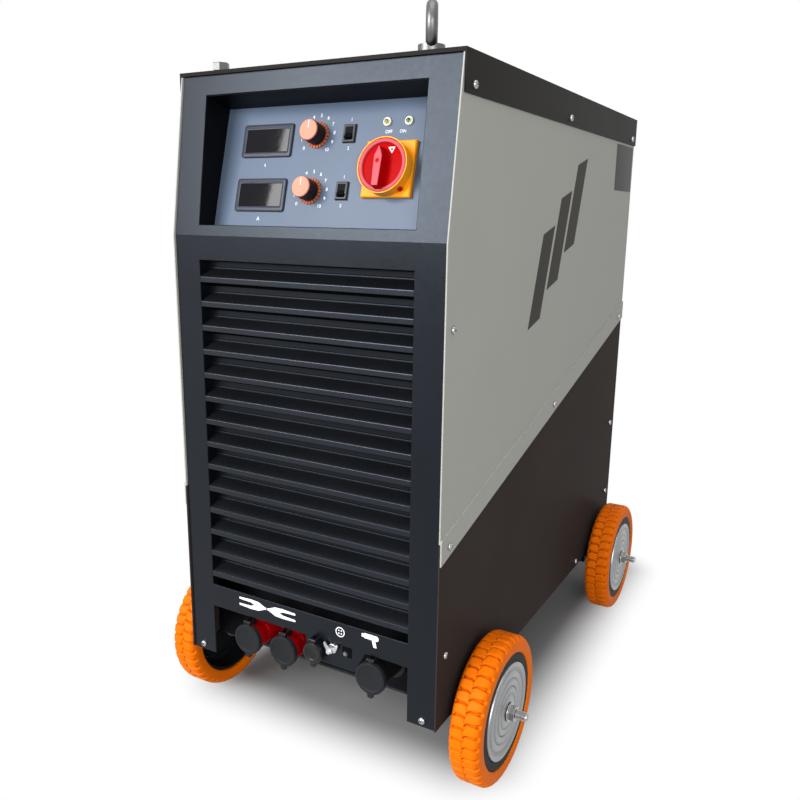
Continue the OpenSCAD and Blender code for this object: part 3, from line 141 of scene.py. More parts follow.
# %% A wire between nodes
class Wire:
    def __init__(self, tree, socket=None):
        self.tree = tree
        self.socket = socket

    def node(self, kind, settings=None, sockets=None, output=0):
        made = self.tree.nodes.new("ShaderNode" + kind)
        for name, value in (settings or {}).items():
            setattr(made, name, value)
        for name, value in (sockets or {}).items():
            self.feed(made.inputs[name], value)
        return Wire(self.tree, made.outputs[output])

    def feed(self, socket, value):
        if isinstance(value, Wire):
            self.tree.links.new(value.socket, socket)
        elif hasattr(socket.default_value, "__len__") and len(value) < len(socket.default_value):
            socket.default_value = (*value, 1.0)
        else:
            socket.default_value = value

    def math(self, operation, first, second):
        return self.node("Math", {"operation": operation}, {0: first, 1: second})

    def vector(self, operation, first, second):
        return self.node("VectorMath", {"operation": operation}, {0: first, 1: second})

    def __add__(self, other):
        return self.math("ADD", self, other)

    def __radd__(self, other):
        return self.math("ADD", other, self)

    def __sub__(self, other):
        return self.math("SUBTRACT", self, other)

    def __rsub__(self, other):
        return self.math("SUBTRACT", other, self)

    def __mul__(self, other):
        return self.math("MULTIPLY", self, other)

    def __rmul__(self, other):
        return self.math("MULTIPLY", other, self)

    def noise(self, scale, detail=3.0, stretch=(1, 1, 1)):
        place = self.node("TexCoord", output=3)
        place = self.node("Mapping", None, {"Vector": place, "Scale": stretch})
        return self.node("TexNoise", None, {"Vector": place, "Scale": scale, "Detail": detail})

    def ramp(self, value, low, high):
        """Zero below the low value, one above the high one and even in between."""
        return self.node("MapRange", None, {"Value": value, "From Min": low, "From Max": high})

    def seen_ray(self):
        """One for rays that show the surroundings: straight to the camera, mirrored or through glass."""
        names = ("Is Camera Ray", "Is Glossy Ray", "Is Transmission Ray")
        camera_ray, glossy_ray, glass_ray = [self.node("LightPath", output=name) for name in names]
        return self.math("MAXIMUM", camera_ray, self.math("MAXIMUM", glossy_ray, glass_ray))

    def blend(self, factor, first, second):
        settings = {"data_type": "RGBA", "clamp_factor": True}
        return self.node("Mix", settings, {0: factor, 6: first, 7: second}, output=2)


print("wires ready")

# %% [markdown]
# ## A family of finishes
# Nearly every surface on the machine is paint, plated metal, moulded plastic or rubber. They share
# the same recipe: a base colour that drifts a little over the sheet, a roughness that drifts with
# it, a fine grain that tilts the surface, and a few settings that are the same all over. One
# function holds that recipe, so that each finish below only has to give its own numbers.

# %% The shared recipe
CLOUD_SCALE = 7
CLOUD_DETAIL = 4
CLOUD_RANGE = (0.3, 0.7)
GRAIN_DETAIL = 2
GRAIN_ROUGHNESS = 0.08
GRAIN_STRENGTH = 0.35
MOTTLE_SCALE = 190
WEAR_SCALE = 60
WEAR_DETAIL = 6
WEAR_RANGE = (0.66, 0.74)
WEAR_CLOUDS = (0.45, 0.7)
WEAR_SHARE = 0.5
HOLLOW_SHADE_RANGE = (0.43, 0.5)
finishes = {}


def new_material(name):
    material = bpy.data.materials.new(name)
    material.use_nodes = True
    tree = material.node_tree
    return material, tree.nodes["Principled BSDF"], Wire(tree)


def finish(name, colour, rough, gloss=0.5, drift=0.12, grain=900, grain_depth=0.02, rough_drift=0.12,
           mottle=0.0, stretch=(1, 1, 1), worn=None, hollow_shade=None, **constant):
    """Adds a finish: colours are linear, the depth of the grain is in mm, the rest are plain numbers."""
    material, shader, wire = new_material(name)
    cloud = wire.noise(CLOUD_SCALE, CLOUD_DETAIL, stretch)
    fine = wire.noise(grain, GRAIN_DETAIL, stretch)
    dark = tuple(c * (1 - drift) for c in colour)
    light = tuple(min(1, c * (1 + drift)) for c in colour)
    tone = wire.blend(wire.ramp(cloud, *CLOUD_RANGE), dark, light)
    if worn:
        specks = wire.ramp(wire.noise(WEAR_SCALE, WEAR_DETAIL), *WEAR_RANGE) * wire.ramp(cloud, *WEAR_CLOUDS)
        tone = wire.blend(specks * WEAR_SHARE, tone, worn)
    # Painted shade: where the surface curves inwards, in grooves and creases, the colour turns darker.
    if hollow_shade:
        bend = wire.node("NewGeometry", output="Pointiness")
        tone = wire.blend(wire.ramp(bend, *HOLLOW_SHADE_RANGE), hollow_shade, tone)
    wire.feed(shader.inputs["Base Color"], tone)
    roughness = rough + (cloud - 0.5) * rough_drift + (fine - 0.5) * GRAIN_ROUGHNESS
    if mottle:
        roughness = roughness + (wire.noise(MOTTLE_SCALE) - 0.5) * mottle
    wire.feed(shader.inputs["Roughness"], roughness)
    grain_sockets = {"Strength": GRAIN_STRENGTH, "Distance": grain_depth * MM, "Height": fine}
    bump = wire.node("Bump", None, grain_sockets)
    wire.feed(shader.inputs["Normal"], bump)
    wire.feed(shader.inputs["Specular IOR Level"], gloss)
    for socket, value in constant.items():
        wire.feed(shader.inputs[socket.replace("_", " ")], value)
    material.diffuse_color = (*colour, 1)
    finishes[name] = material


print("recipe ready")

# %% [markdown]
# ## Paints, plastics, rubber and metals
# The sheets are sprayed black or grey, the small parts are moulded, and the fasteners are plated. A
# picture could be wrapped round each piece instead, but plain numbers keep the same look at any
# distance. The gloss says how much a surface mirrors when it is seen straight on: a half is clean,
# polished plastic, and matt paint has far less.

# %% List the finishes
BLUE_SHEEN = (0.71, 0.825, 1.0)
finish("black_paint", (0.0035, 0.004, 0.0055), 0.31, grain=1400, grain_depth=0.05, mottle=0.09,
       gloss=0.25, Specular_Tint=BLUE_SHEEN)
finish("blade_paint", (0.005, 0.0055, 0.007), 0.30, grain=1400, grain_depth=0.05, mottle=0.1,
       gloss=0.34, Specular_Tint=BLUE_SHEEN)
finish("upstand_paint", (0.0055, 0.0068, 0.0085), 0.35, grain=1400, grain_depth=0.05, mottle=0.1,
       gloss=0.14, Specular_Tint=BLUE_SHEEN)
# Painted shade: a near-black for the strips behind the louvre upstands, standing in for the shadow under each
# lip.
finish("shade_black", (0.0008, 0.0009, 0.0011), 0.6, grain=900, gloss=0.02)
finish("cover_paint", (0.014, 0.0127, 0.0114), 0.4, grain=1400, grain_depth=0.05, gloss=0.03)
finish("recess_paint", (0.003, 0.0035, 0.005), 0.4, grain=1400, grain_depth=0.05, gloss=0.06)
finish("panel_paint", (0.0935, 0.1265, 0.185), 0.3, drift=0.04, grain=1200, gloss=0.12)
finish("grey_paint", (0.375, 0.38, 0.344), 0.42, drift=0.03, grain=500, gloss=0.08)
finish("dark_paint", (0.041, 0.032, 0.0285), 0.4, grain=700, gloss=0.004)
finish("zinc", (0.36, 0.36, 0.355), 0.24, grain=700, grain_depth=0.03, worn=(0.12, 0.12, 0.11), Metallic=1.0)
# Painted shade: the rim's pressed rings are coloured darker in their hollows.
finish("rim_metal", (0.31, 0.315, 0.32), 0.34, grain=500, grain_depth=0.04, worn=(0.16, 0.16, 0.15),
       hollow_shade=(0.13, 0.13, 0.13), Metallic=1.0)
finish("bolt_steel", (0.13, 0.135, 0.13), 0.4, grain=700, grain_depth=0.03, worn=(0.06, 0.06, 0.055),
       Metallic=1.0)
# Painted shade: the tread is coloured darker in its grooves.
finish("tyre_rubber", (0.82, 0.158, 0.0012), 0.5, drift=0.10, grain=350, grain_depth=0.06,
       hollow_shade=(0.30, 0.036, 0.0008), gloss=0.06)
finish("band_rubber", (0.008, 0.009, 0.010), 0.5, grain=500, grain_depth=0.05, gloss=0.07)
finish("black_plastic", (0.007, 0.007, 0.008), 0.36, grain=1100, gloss=0.25)
finish("rocker_plastic", (0.006, 0.006, 0.007), 0.4, grain=1100, gloss=0.02)
finish("lid_rubber", (0.013, 0.014, 0.016), 0.5, grain=600, grain_depth=0.05, gloss=0.1)
finish("red_plastic", (0.37, 0.0015, 0.003), 0.22, drift=0.06, grain=800, gloss=0.025)
finish("yellow_plastic", (0.95, 0.35, 0.009), 0.34, drift=0.05, grain=800, gloss=0.12)
finish("salmon_plastic", (0.82, 0.25, 0.17), 0.45, drift=0.05, grain=800, gloss=0.15)
finish("dial_orange", (0.40, 0.11, 0.055), 0.5, drift=0.08, grain=800, gloss=0.1)
finish("meter_plastic", (0.032, 0.037, 0.052), 0.34, grain=1000, gloss=0.2)
finish("dark_glass", (0.002, 0.002, 0.004), 0.04, rough_drift=0.04, grain=300, grain_depth=0.002,
       gloss=0.18)
finish("lamp_plastic", (0.62, 0.64, 0.45), 0.25, grain=600, gloss=0.2)
finish("brass", (0.72, 0.48, 0.18), 0.3, grain=500, Metallic=1.0)
finish("aluminium", (0.62, 0.63, 0.65), 0.35, grain=600, Metallic=1.0)
finish("core_steel", (0.10, 0.10, 0.11), 0.5, grain=500, stretch=(1, 12, 1))
finish("copper", (0.55, 0.22, 0.10), 0.35, grain=400, stretch=(1, 1, 10), Metallic=1.0)
finish("can_plastic", (0.02, 0.025, 0.06), 0.3, grain=500)
finish("board", (0.012, 0.10, 0.04), 0.4, grain=300)
print(len(finishes), "finishes:", ", ".join(sorted(finishes)))

# %% [markdown]
# ## Finishes on the solids
# Each solid has a material slot in its record, named for its finish, so the finishes go on by that
# name, and a few pieces get a shade of their own. Real sheet metal never has a knife edge: a folded
# or sawn edge has a small radius that catches the light. The edges could be rounded in the solids,
# but they would get heavy, so a weld of their split corners and a narrow bevel give that line of
# light here. Folds in a sheet stay crisp because flat solids are shaded face by face.

# %% Dress the solids
BEVELS_MM = {
    "front_panel": 0.7, "louvre_blades": 0.8, "left_upper_panel": 0.5, "right_upper_panel": 0.5,
    "left_lower_panel": 0.5, "right_lower_panel": 0.5, "rear_panel": 0.5, "recess_shroud": 0.4,
    "rocker_housings": 0.4, "control_rocker": 0.4, "mode_rocker": 0.4,
    "switch_plate": 0.8, "axle_nuts": 0.7, "axle_brackets": 1.0, "connector_plate": 0.4,
    "base_pan": 0.5, "cable_gland": 0.6, "fan_frame": 0.8, "heat_sink": 0.4, "meter_windows": 0.3,
}
ROUND_SOLIDS = ("switch_plate", "axle_nuts", "cable_gland", "fan_frame")
WELD_MM = 0.02
BEVEL_STEPS = 2
BEVEL_ANGLE = math.radians(35)
FOLD_ANGLE = math.radians(5)


def round_edges(solid, width_mm, flat):
    weld = solid.modifiers.new("weld", "WELD")
    weld.merge_threshold = WELD_MM * MM
    bevel = solid.modifiers.new("edge", "BEVEL")
    bevel.width = width_mm * MM
    bevel.segments = BEVEL_STEPS
    bevel.limit_method = "ANGLE"
    bevel.angle_limit = BEVEL_ANGLE
    bevel.use_clamp_overlap = True
    if flat:
        split = solid.modifiers.new("crisp_folds", "EDGE_SPLIT")
        split.split_angle = FOLD_ANGLE
    else:
        solid.modifiers.new("even_light", "WEIGHTED_NORMAL")


slots = {part["node"]: part["material_slot"] for part in frame["record"]["subparts"]}
OWN_FINISH = {"louvre_blades": "blade_paint", "eyebolts": "bolt_steel",
              "control_rocker": "rocker_plastic", "mode_rocker": "rocker_plastic"}
for name, solid in nodes.items():
    solid.data.materials.clear()
    solid.data.materials.append(finishes[OWN_FINISH.get(name, slots[name])])
    if name in BEVELS_MM:
        round_edges(solid, BEVELS_MM[name], name not in ROUND_SOLIDS)
print(len(BEVELS_MM), "solids with rounded edges")

# %% [markdown]
# ## Tools for new pieces
# Round pieces are drawn as half a side view and spun, as on a lathe. A skin runs over outlines that
# change from one to the next, and a flat piece is pressed as the skin over one outline at two
# heights. Blender can also push a face up by itself, but then the order of the new faces changes from
# run to run. All are drawn in millimetres round their own axis, which keeps the numbers readable.

# %% Lathe, skin and press
EDGE_STEPS = 3


def on_circle(radius, turns):
    return [(radius * math.cos(a), radius * math.sin(a)) for a in turns]


def spin(profile, steps=48, closed=False):
    """A profile of (radius, height) turned round the z axis, with its ends joined where it is closed."""
    shape = bmesh.new()
    rings = []
    for radius, height in profile:
        count = steps if radius > 0 else 1
        turns = [2 * math.pi * k / steps for k in range(count)]
        rings.append([shape.verts.new((x, y, height)) for x, y in on_circle(radius, turns)])
    pairs = list(zip(rings, rings[1:]))
    if closed:
        pairs.append((rings[-1], rings[0]))
    for low, high in pairs:
        for k in range(steps):
            corners = [low[k % len(low)], low[(k + 1) % len(low)],
                       high[(k + 1) % len(high)], high[k % len(high)]]
            corners = list(dict.fromkeys(corners))
            if len(corners) > 2:
                shape.faces.new(corners)
    bmesh.ops.recalc_face_normals(shape, faces=shape.faces)
    return shape


def loft(loops):
    """Skin from one loop of points to the next, with the first and the last loop filled in."""
    shape = bmesh.new()
    rings = [[shape.verts.new(point) for point in loop] for loop in loops]
    count = len(rings[0])
    for low, high in zip(rings, rings[1:]):
        for k in range(count):
            shape.faces.new((low[k], low[(k + 1) % count], high[(k + 1) % count], high[k]))
    for end in (rings[0], rings[-1]):
        shape.faces.new(end)
    bmesh.ops.recalc_face_normals(shape, faces=shape.faces)
    return shape


def press(outline, low, high, edge=0.0):
    """An outline in (x, y) pushed up from one height to another, with its top edge rounded off."""
    shape = loft([[(x, y, z) for x, y in outline] for z in (low, high)])
    if edge:
        top = list(shape.verts)[len(outline):]
        rim = [e for e in shape.edges if all(v in top for v in e.verts)]
        bmesh.ops.bevel(shape, geom=rim, offset=edge, segments=EDGE_STEPS, affect="EDGES", profile=0.5)
    return shape


def round_corners(width, height, radius, steps=5):
    """Outline of a rectangle with rounded corners, round the origin."""
    outline = []
    for corner, (sx, sy) in enumerate(((1, 1), (-1, 1), (-1, -1), (1, -1))):
        for k in range(steps + 1):
            turn = math.pi / 2 * (corner + k / steps)
            outline.append((sx * (width / 2 - radius) + radius * math.cos(turn),
                            sy * (height / 2 - radius) + radius * math.sin(turn)))
    return outline


print("shapes can be spun, skinned and pressed")

# %% [markdown]
# ## From a shape to a piece
# Shapes that belong to one piece are gathered into one mesh. The mesh is then moved to its place in
# metres, gets its finish and is tied to the moving body that carries it, and the solid that it
# stands for is hidden. Edges sharper than 35 degrees stay crisp, and all others are shaded smooth.

# %% Gather and place
SHARP_DEG = 35
STAY = Matrix.Identity(4)


def gather(shapes):
    """Several shapes as one, each moved by its own matrix."""
    whole = bmesh.new()
    for shape, matrix in shapes:
        part = bpy.data.meshes.new("part")
        shape.to_mesh(part)
        part.transform(matrix)
        whole.from_mesh(part)
        bpy.data.meshes.remove(part)
    return whole


def mesh_of(name, shape):
    mesh = bpy.data.meshes.new(name)
    shape.to_mesh(mesh)
    shape.free()
    return mesh


def place_piece(name, shape, finish_name, body, matrix=STAY, replaced=(), sharp=SHARP_DEG):
    """Makes an object of a shape in mm, lets it ride on a body and hides the solids it replaces."""
    mesh = mesh_of(name, shape)
    mesh.transform(matrix @ Matrix.Scale(MM, 4))
    mesh.shade_smooth()
    mesh.set_sharp_from_angle(angle=math.radians(sharp))
    mesh.materials.append(finishes[finish_name])
    piece = add_object(name, mesh)
    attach(piece, body)
    if replaced:
        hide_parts(*replaced)


def at(x, y, z):
    return Matrix.Translation(Vector((x, y, z)))


print("pieces can be placed")

# %% [markdown]
# ## Upstands of the louvre
# Behind its lip each blade of the louvre rises at a slope and then turns up into a narrow upstand,
# which keeps the inside out of sight and shows as a second line of light behind every lip. The
# slope is a CAD solid. The upstand could be a separate strip for each blade, but one side view with
# a small rounded fold at its foot, run across the opening and repeated, needs only one drawing. A
# near-black strip stands on it, a little further back, and closes the view into the cabinet. It is
# painted shade: a dark sheet that stands in for the shadow under each lip.

# %% Add the upstands
BLADES = 14
BLADE_LIP = 7.0
BLADE_RISE = 16.0
UPSTAND_PROFILE = ((16.6, 9.9), (16.6, 11.3), (16.9, 12.0), (17.5, 12.4),
                   (18.2, 12.6), (18.2, 19.0), (19.8, 19.0), (19.8, 11.6))
SHADE_STRIP_PROFILE = ((18.9, 18.6), (18.9, 25.5), (19.7, 25.5), (19.7, 18.6))


def on_every_blade(profile):
    low, high = (Vector(corner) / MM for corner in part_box("louvre_blades"))
    pitch = (high.z - low.z - BLADE_LIP - BLADE_RISE) / (BLADES - 1)
    side_views = [[(x, y, z) for y, z in profile] for x in (low.x, high.x)]
    return gather([(loft(side_views), at(0, low.y, high.z - BLADE_RISE - i * pitch))
                   for i in range(BLADES)])


place_piece("louvre_upstands", on_every_blade(UPSTAND_PROFILE), "upstand_paint", "cabinet")
# Painted shade: near-black strips behind the upstands stand in for the shadow under each lip.
place_piece("louvre_shade_strips", on_every_blade(SHADE_STRIP_PROFILE), "shade_black", "cabinet")
print(BLADES, "upstands behind the lips")

# %% [markdown]
# ## Tyres
# The wheels are shod with bright orange moulded rubber. The tread has two rows of lugs, half a step
# apart, parted by grooves that open at the shoulder and meet in a zigzag line at the crown. A
# boolean cut for each groove would be slow and leave knife edges. Here the surface is one fine
# grid, bent round the wheel, and each point sinks by the depth of the groove at that place.

# %% Measure the grooves
WHEEL_R = 98.5
WHEEL_HALF = 21.5
SHOULDER = 9.0
SHOULDER_DROP = 11.5
SHOULDER_STEPS = 12
CROWN_ACROSS = (11, 9.5, 8, 6.6, 5.4, 4.3, 3.3, 2.4, 1.6, 0.8, 0)
LUGS = 40
STEPS_PER_LUG = 24
PITCH = 2 * math.pi * WHEEL_R / LUGS
GROOVE_HALF = 0.5
GROOVE_WALL = 1.9
GROOVE_DEPTH = 3.0
GROOVE_ENDS = (19.2, 21.2)
HOOK = 2.6
HOOK_REACH = 6
FLARE_RANGE = (9, 18)
SHOULDER_FLARE = 1.0
SHOULDER_DEEPER = 1.2
ZIGZAG = 1.7
ZIGZAG_EDGE = (0.2, 1.6)
ZIGZAG_DEPTH = 1.1


def soft_step(value, low, high):
    share = min(1, max(0, (value - low) / (high - low)))
    return share * share * (3 - 2 * share)


def tyre_outline():
    """The tyre cut through, as points of (radius, across, normal out, normal across)."""
    arc = [math.radians(90 - 90 / SHOULDER_STEPS * k) for k in range(SHOULDER_STEPS + 1)]
    shoulder = [(WHEEL_R - SHOULDER_DROP * (1 - math.cos(a)), WHEEL_HALF - SHOULDER * (1 - math.sin(a)),
                 math.cos(a), math.sin(a)) for a in arc]
    crown = [(WHEEL_R, across, 1.0, 0.0) for across in CROWN_ACROSS]
    side = [(77.1, 18.6, -0.9, 0.4), (77.3, 20.0, -0.7, 0.7),
            (78.4, 20.8, -0.3, 0.95), (81.5, 21.3, -0.1, 1.0)]
    half = side + shoulder + crown
    return half + [(r, -w, n, -m) for r, w, n, m in reversed(half[:-1])]


def groove_depth(step, across):
    """How deep the tread is cut at a step round the tyre and a distance from its middle."""
    phase = step / STEPS_PER_LUG + (0.5 if across < 0 else 0)
    hook = HOOK * max(0, 1 - abs(across) / HOOK_REACH) ** 2
    along = ((phase + 0.5) % 1 - 0.5) * PITCH - hook
    near_shoulder = soft_step(abs(across), *FLARE_RANGE)
    half = GROOVE_HALF + SHOULDER_FLARE * near_shoulder
    cut = 1 - soft_step(abs(along), half, half + GROOVE_WALL)
    cut *= 1 - soft_step(abs(across), *GROOVE_ENDS)
    swing = ZIGZAG * (1 - 4 * abs((step / STEPS_PER_LUG + 0.25) % 1 - 0.5))
    middle = 1 - soft_step(abs(across - swing), *ZIGZAG_EDGE)
    depth = GROOVE_DEPTH + SHOULDER_DEEPER * near_shoulder
    return max(depth * cut, ZIGZAG_DEPTH * middle)


print("grooves", GROOVE_DEPTH, "mm deep, a lug every", round(PITCH, 1), "mm")

# %% [markdown]
# ## The tread round the wheels
# The side view of the tyre is carried round the axle in small steps. At each step every point sinks
# by the depth of the groove there, square to the surface, so that a groove follows the rounded
# shoulder. Each of the four tyres rides on its own wheel.

# %% Bend the grid round the wheels
def tyre_shape():
    outline = tyre_outline()
    steps = LUGS * STEPS_PER_LUG
    shape = bmesh.new()
    rows = []
    for k in range(steps):
        angle = 2 * math.pi * k / steps
        row = []
        for radius, across, out, side in outline:
            sink = groove_depth(k, across) if radius > WHEEL_R - SHOULDER_DROP else 0
            r = radius - sink * out
            point = (r * math.cos(angle), r * math.sin(angle), across - sink * side)
            row.append(shape.verts.new(point))
        rows.append(row)
    for k in range(steps):
        here, there = rows[k], rows[(k + 1) % steps]
        for j in range(len(outline) - 1):
            shape.faces.new((here[j], here[j + 1], there[j + 1], there[j]))
        shape.faces.new((here[-1], here[0], there[0], there[-1]))
    bmesh.ops.recalc_face_normals(shape, faces=shape.faces)
    return shape


WHEEL_MID = 232.0
AXLE_Y = {"front": 105, "rear": 676}
AXLE_Z = -14.5
SIDES = {"left": -1, "right": 1}
# Each wheel's side and its place behind the front face
WHEELS = {end + "_" + label: (side, y) for end, y in AXLE_Y.items() for label, side in SIDES.items()}


def sideways(turn):
    """Lays an axis that points up over to the left (-1) or to the right (1)."""
    return Matrix.Rotation(turn * math.pi / 2, 4, "Y")


def wheel_matrix(side, y):
    return Matrix.Translation(cab(side * WHEEL_MID, y, AXLE_Z)) @ sideways(side)


for wheel, (side, y) in WHEELS.items():
    place_piece(wheel + "_tread", tyre_shape(), "tyre_rubber", wheel + "_wheel", wheel_matrix(side, y),
                [wheel + "_tyre"], sharp=60)
print(len(WHEELS), "tyres of", LUGS, "lugs a row")

# %% [markdown]
# ## Rims
# Inside each tyre sits a flat black band, then a pressed disc of plated steel with rings pressed
# into it, and a hub on the axle. A lathe profile gives all of it in one turn. The band and a black
# layer on the back of the disc are pieces of their own, because the front of the disc is bare metal.

# %% Make the rims
RIM_STEPS = 96
RING_CRESTS = ((48.5, 21.3), (38.0, 21.7), (28.0, 22.0))


def pressed_rings():
    """The disc's outer face, from its edge to the hub, as (radius, height above the wheel's middle)."""
    face = [(65.0, 16.1), (64.9, 19.6), (64.2, 20.9), (62.6, 21.5), (60.4, 21.2), (58.8, 20.0), (56.8, 19.0)]
    for crest, height in RING_CRESTS:
        face += [(crest + 5.2, height - 2.7), (crest + 2.6, height - 0.8), (crest, height),
                 (crest - 2.6, height - 0.6), (crest - 4.6, height - 1.7)]
    return face + [(21.6, 21.2), (20.2, 22.0), (18.6, 22.4), (10.05, 22.5)]


DISC_PROFILE = pressed_rings() + [(10.05, -21.5), (23, -21.5), (24, -20.5), (24, 16), (40, 17), (60, 15)]
BAND_PROFILE = [(65.4, 12.5), (65.4, 18.9), (66.2, 19.6), (76.2, 19.6), (76.9, 18.9),
                (76.9, -16.0), (76.2, -16.5), (73.8, -16.5), (73.0, -15.8), (73.0, 12.5)]
BACK_PROFILE = [(24.1, -21.4), (24.6, -21.4), (24.6, 14.9), (40, 15.8), (60, 13.8),
                (64.6, 14.9), (64.6, 15.6), (60, 14.6), (40, 16.6), (24.1, 15.6)]


def ring(profile):
    return spin(profile, RIM_STEPS, closed=True)


for wheel, (side, y) in WHEELS.items():
    body = wheel + "_wheel"
    spot = wheel_matrix(side, y)
    place_piece(wheel + "_back", ring(BACK_PROFILE), "band_rubber", body, spot)
    place_piece(wheel + "_disc", ring(DISC_PROFILE), "rim_metal", body, spot, [wheel + "_rim"])
    place_piece(wheel + "_band", ring(BAND_PROFILE), "band_rubber", body, spot)
print("rims of", len(DISC_PROFILE), "profile points")

# %% [markdown]
# ## Axles
# A bar runs right across under the cabinet and sticks out of each hub with a threaded end. Thread
# could be a true helix, but at this size rings of the same pitch look the same and stay light.

# %% Turn the axles
AXLE_END = 281.5
THREAD_FROM = 265.0
THREAD_PITCH = 1.75


def axle_half():
    """Side view of the axle's right half as (radius, distance from the middle), out to the threaded end."""
    half = [(10, 0), (10, 190.3), (12.9, 190.3), (13.5, 190.9), (13.5, 209.6), (12.9, 210.2), (10, 210.2),
            (10, 254.6), (5.9, 254.8), (5.9, 264.6)]
    z = THREAD_FROM
    while z < AXLE_END - 2 * THREAD_PITCH:
        half += [(5.25, z), (6.0, z + THREAD_PITCH * 0.45), (6.0, z + THREAD_PITCH * 0.6)]
        z += THREAD_PITCH
    return half + [(5.3, AXLE_END - 2.4), (4.9, AXLE_END - 1.2), (3.6, AXLE_END - 0.4), (0, AXLE_END)]


def axle_profile():
    half = axle_half()
    return [(r, -z) for r, z in reversed(half)] + half[1:]


for end, y in AXLE_Y.items():
    across = Matrix.Translation(cab(0, y, AXLE_Z)) @ sideways(1)
    place_piece(end + "_axle_bar", spin(axle_profile(), steps=40), "zinc", "cabinet", across, [end + "_axle"])
print("two axles, threads every", THREAD_PITCH, "mm")

# %% [markdown]
# ## Screws
# Small cross-head screws hold the sheets along every flange. The cross is a real pocket: one
# cross-shaped bar is cut out of a turned head with a boolean, and that head is copied to each place.

# %% Cut one head
CROSS_HALF = 2.5
CROSS_ARM = 0.5
CROSS_FLOOR = 1.8
CROSS_TOP = 5


def cross_outline():
    """Three corners of one arm of the cross, and the same three turned by a quarter, four times in all."""
    corners = [(CROSS_ARM, CROSS_ARM), (CROSS_ARM, CROSS_HALF), (-CROSS_ARM, CROSS_HALF)]
    outline = []
    for _ in range(4):
        outline += corners
        corners = [(-y, x) for x, y in corners]
    return outline


def final_shape(source, *helpers):
    """What an object looks like once its modifiers are done. The object and its helpers then go."""
    bpy.context.view_layer.update()
    finished = source.evaluated_get(bpy.context.evaluated_depsgraph_get())
    mesh = bpy.data.meshes.new_from_object(finished)
    shape = bmesh.new()
    shape.from_mesh(mesh)
    for used in (source, *helpers):
        bpy.data.objects.remove(used)
    bpy.data.meshes.remove(mesh)
    return shape


def cut(shape, tool):
    """What is left of a shape once a tool is taken away from it."""
    blank, cutter = (add_object("blank", mesh_of("blank", solid)) for solid in (shape, tool))
    boolean = blank.modifiers.new("cut", "BOOLEAN")
    boolean.object = cutter
    boolean.solver = "EXACT"
    return final_shape(blank, cutter)


def screw_head():
    dome = [(0, 0), (4.7, 0), (4.7, 1.3), (4.4, 2.2), (3.7, 3.0), (2.5, 3.6), (1.3, 3.8), (0, 3.85)]
    return cut(spin(dome, steps=28), press(cross_outline(), CROSS_FLOOR, CROSS_TOP))


head = screw_head()
print("one head has", len(head.faces), "faces")

# %% [markdown]
# ## Where the screws sit
# Each side has a row along the flange of the cover, a row along the slanted seam of the sheets and a
# few more near the edges, and each leg has one at its foot. No two screws stop at the same angle when
# they are driven home, so each one is turned a little further than the one before.

# %% Copy the head to each place
SHEET_X = 200
OVERLAP_X = 202
COVER_SCREW_Z = 759
SEAM_SCREW_Z = 234.5
SEAM_SLOPE = math.tan(math.radians(15.9))
# Place behind the front face, height and how far out the sheet is
SIDE_SCREWS = (
    [(y, COVER_SCREW_Z, OVERLAP_X) for y in (47.25, 376.5, 727)]
    + [(y, SEAM_SCREW_Z + y * SEAM_SLOPE, OVERLAP_X) for y in (18, 376.5, 725)]
    + [(y, z, SHEET_X) for y, z in ((15, 498), (725, 235), (725, 96), (18, 96), (556, 11))]
)
LEG_SCREW_X = 180
LEG_SCREW_Z = 9
SCREW_TURN = 0.9
TO_FRONT = Matrix.Rotation(math.pi / 2, 4, "X")


def screw_places():
    places = []
    for side in SIDES.values():
        for k, (y, z, out) in enumerate(SIDE_SCREWS):
            spot = at(side * out, y - MID_Y, z + LEG_Z)
            places.append(spot @ sideways(side) @ Matrix.Rotation(SCREW_TURN * k, 4, "Z"))
        places.append(at(side * LEG_SCREW_X, -MID_Y, LEG_SCREW_Z + LEG_Z) @ TO_FRONT)
    return places


heads = gather([(head, matrix) for matrix in screw_places()])
place_piece("screw_heads", heads, "zinc", "cabinet", STAY, ["panel_screws"])
print(len(screw_places()), "screws")

# %% [markdown]
# ## Lid bolts
# Two flanged hexagon bolts stand on the cover opposite the two lifting eyes. A real head is forged
# with its flange in one piece and then turned down a little at the top, which the round edge shows.

# %% Forge the bolts
BOLT_PLACES = ((-150, 45.25), (150, 733))
BOLT_CORNER_R = 10.8
BOLT_FOOT = 2.2
BOLT_TOP = 12.0
BOLT_EDGE = 0.9
COVER_TOP = 794


def bolt_head():
    flange = spin([(0, 0), (12.6, 0), (12.6, 0.8), (11.6, 1.9), (9.6, 2.7), (0, 2.8)])
    corners = on_circle(BOLT_CORNER_R, [math.pi / 3 * k for k in range(6)])
    hexagon = press(corners, BOLT_FOOT, BOLT_TOP, BOLT_EDGE)
    return gather([(flange, STAY), (hexagon, STAY)])


lid_bolts = gather([(bolt_head(), at(x, y - MID_Y, COVER_TOP + LEG_Z)) for x, y in BOLT_PLACES])
place_piece("bolt_heads", lid_bolts, "bolt_steel", "cabinet", STAY, ["lid_bolts"])
print(len(BOLT_PLACES), "lid bolts")

# %% [markdown]
# ## Knobs and dials
# Two fluted knobs set the time and the current. Each has a salmon cap with a pale index line, and
# turns above a dial ring that is split into short orange blocks. The plain numbers round the dial
# are printed on the panel. They are made from Blender's own lettering, turned into thin meshes.

# %% Dial blocks and numbers
finish("white_print", (0.80, 0.82, 0.84), 0.5, drift=0.04, grain=600)
KNOB_X = -11.5
KNOB_ROWS = {"time": 113.0, "current": 44.0}
KNOB_TOP = 19.4
CAP_R = 12.5
INDEX = [(-0.35, 2), (0.35, 2), (0.35, 10.6), (-0.35, 10.6)]
DIAL_BLOCKS = 22
BLOCK_SHARE = 0.76
BLOCK_RADII = (11.5, 16.4)
NUMBER_RADIUS = 24.2
NUMBER_SIZE = 6.0
FIRST_NUMBER_DEG = 220.0
NUMBER_STEP_DEG = 26.9
PRINT_HALF = 0.05
PRINT_LIFT = 0.1


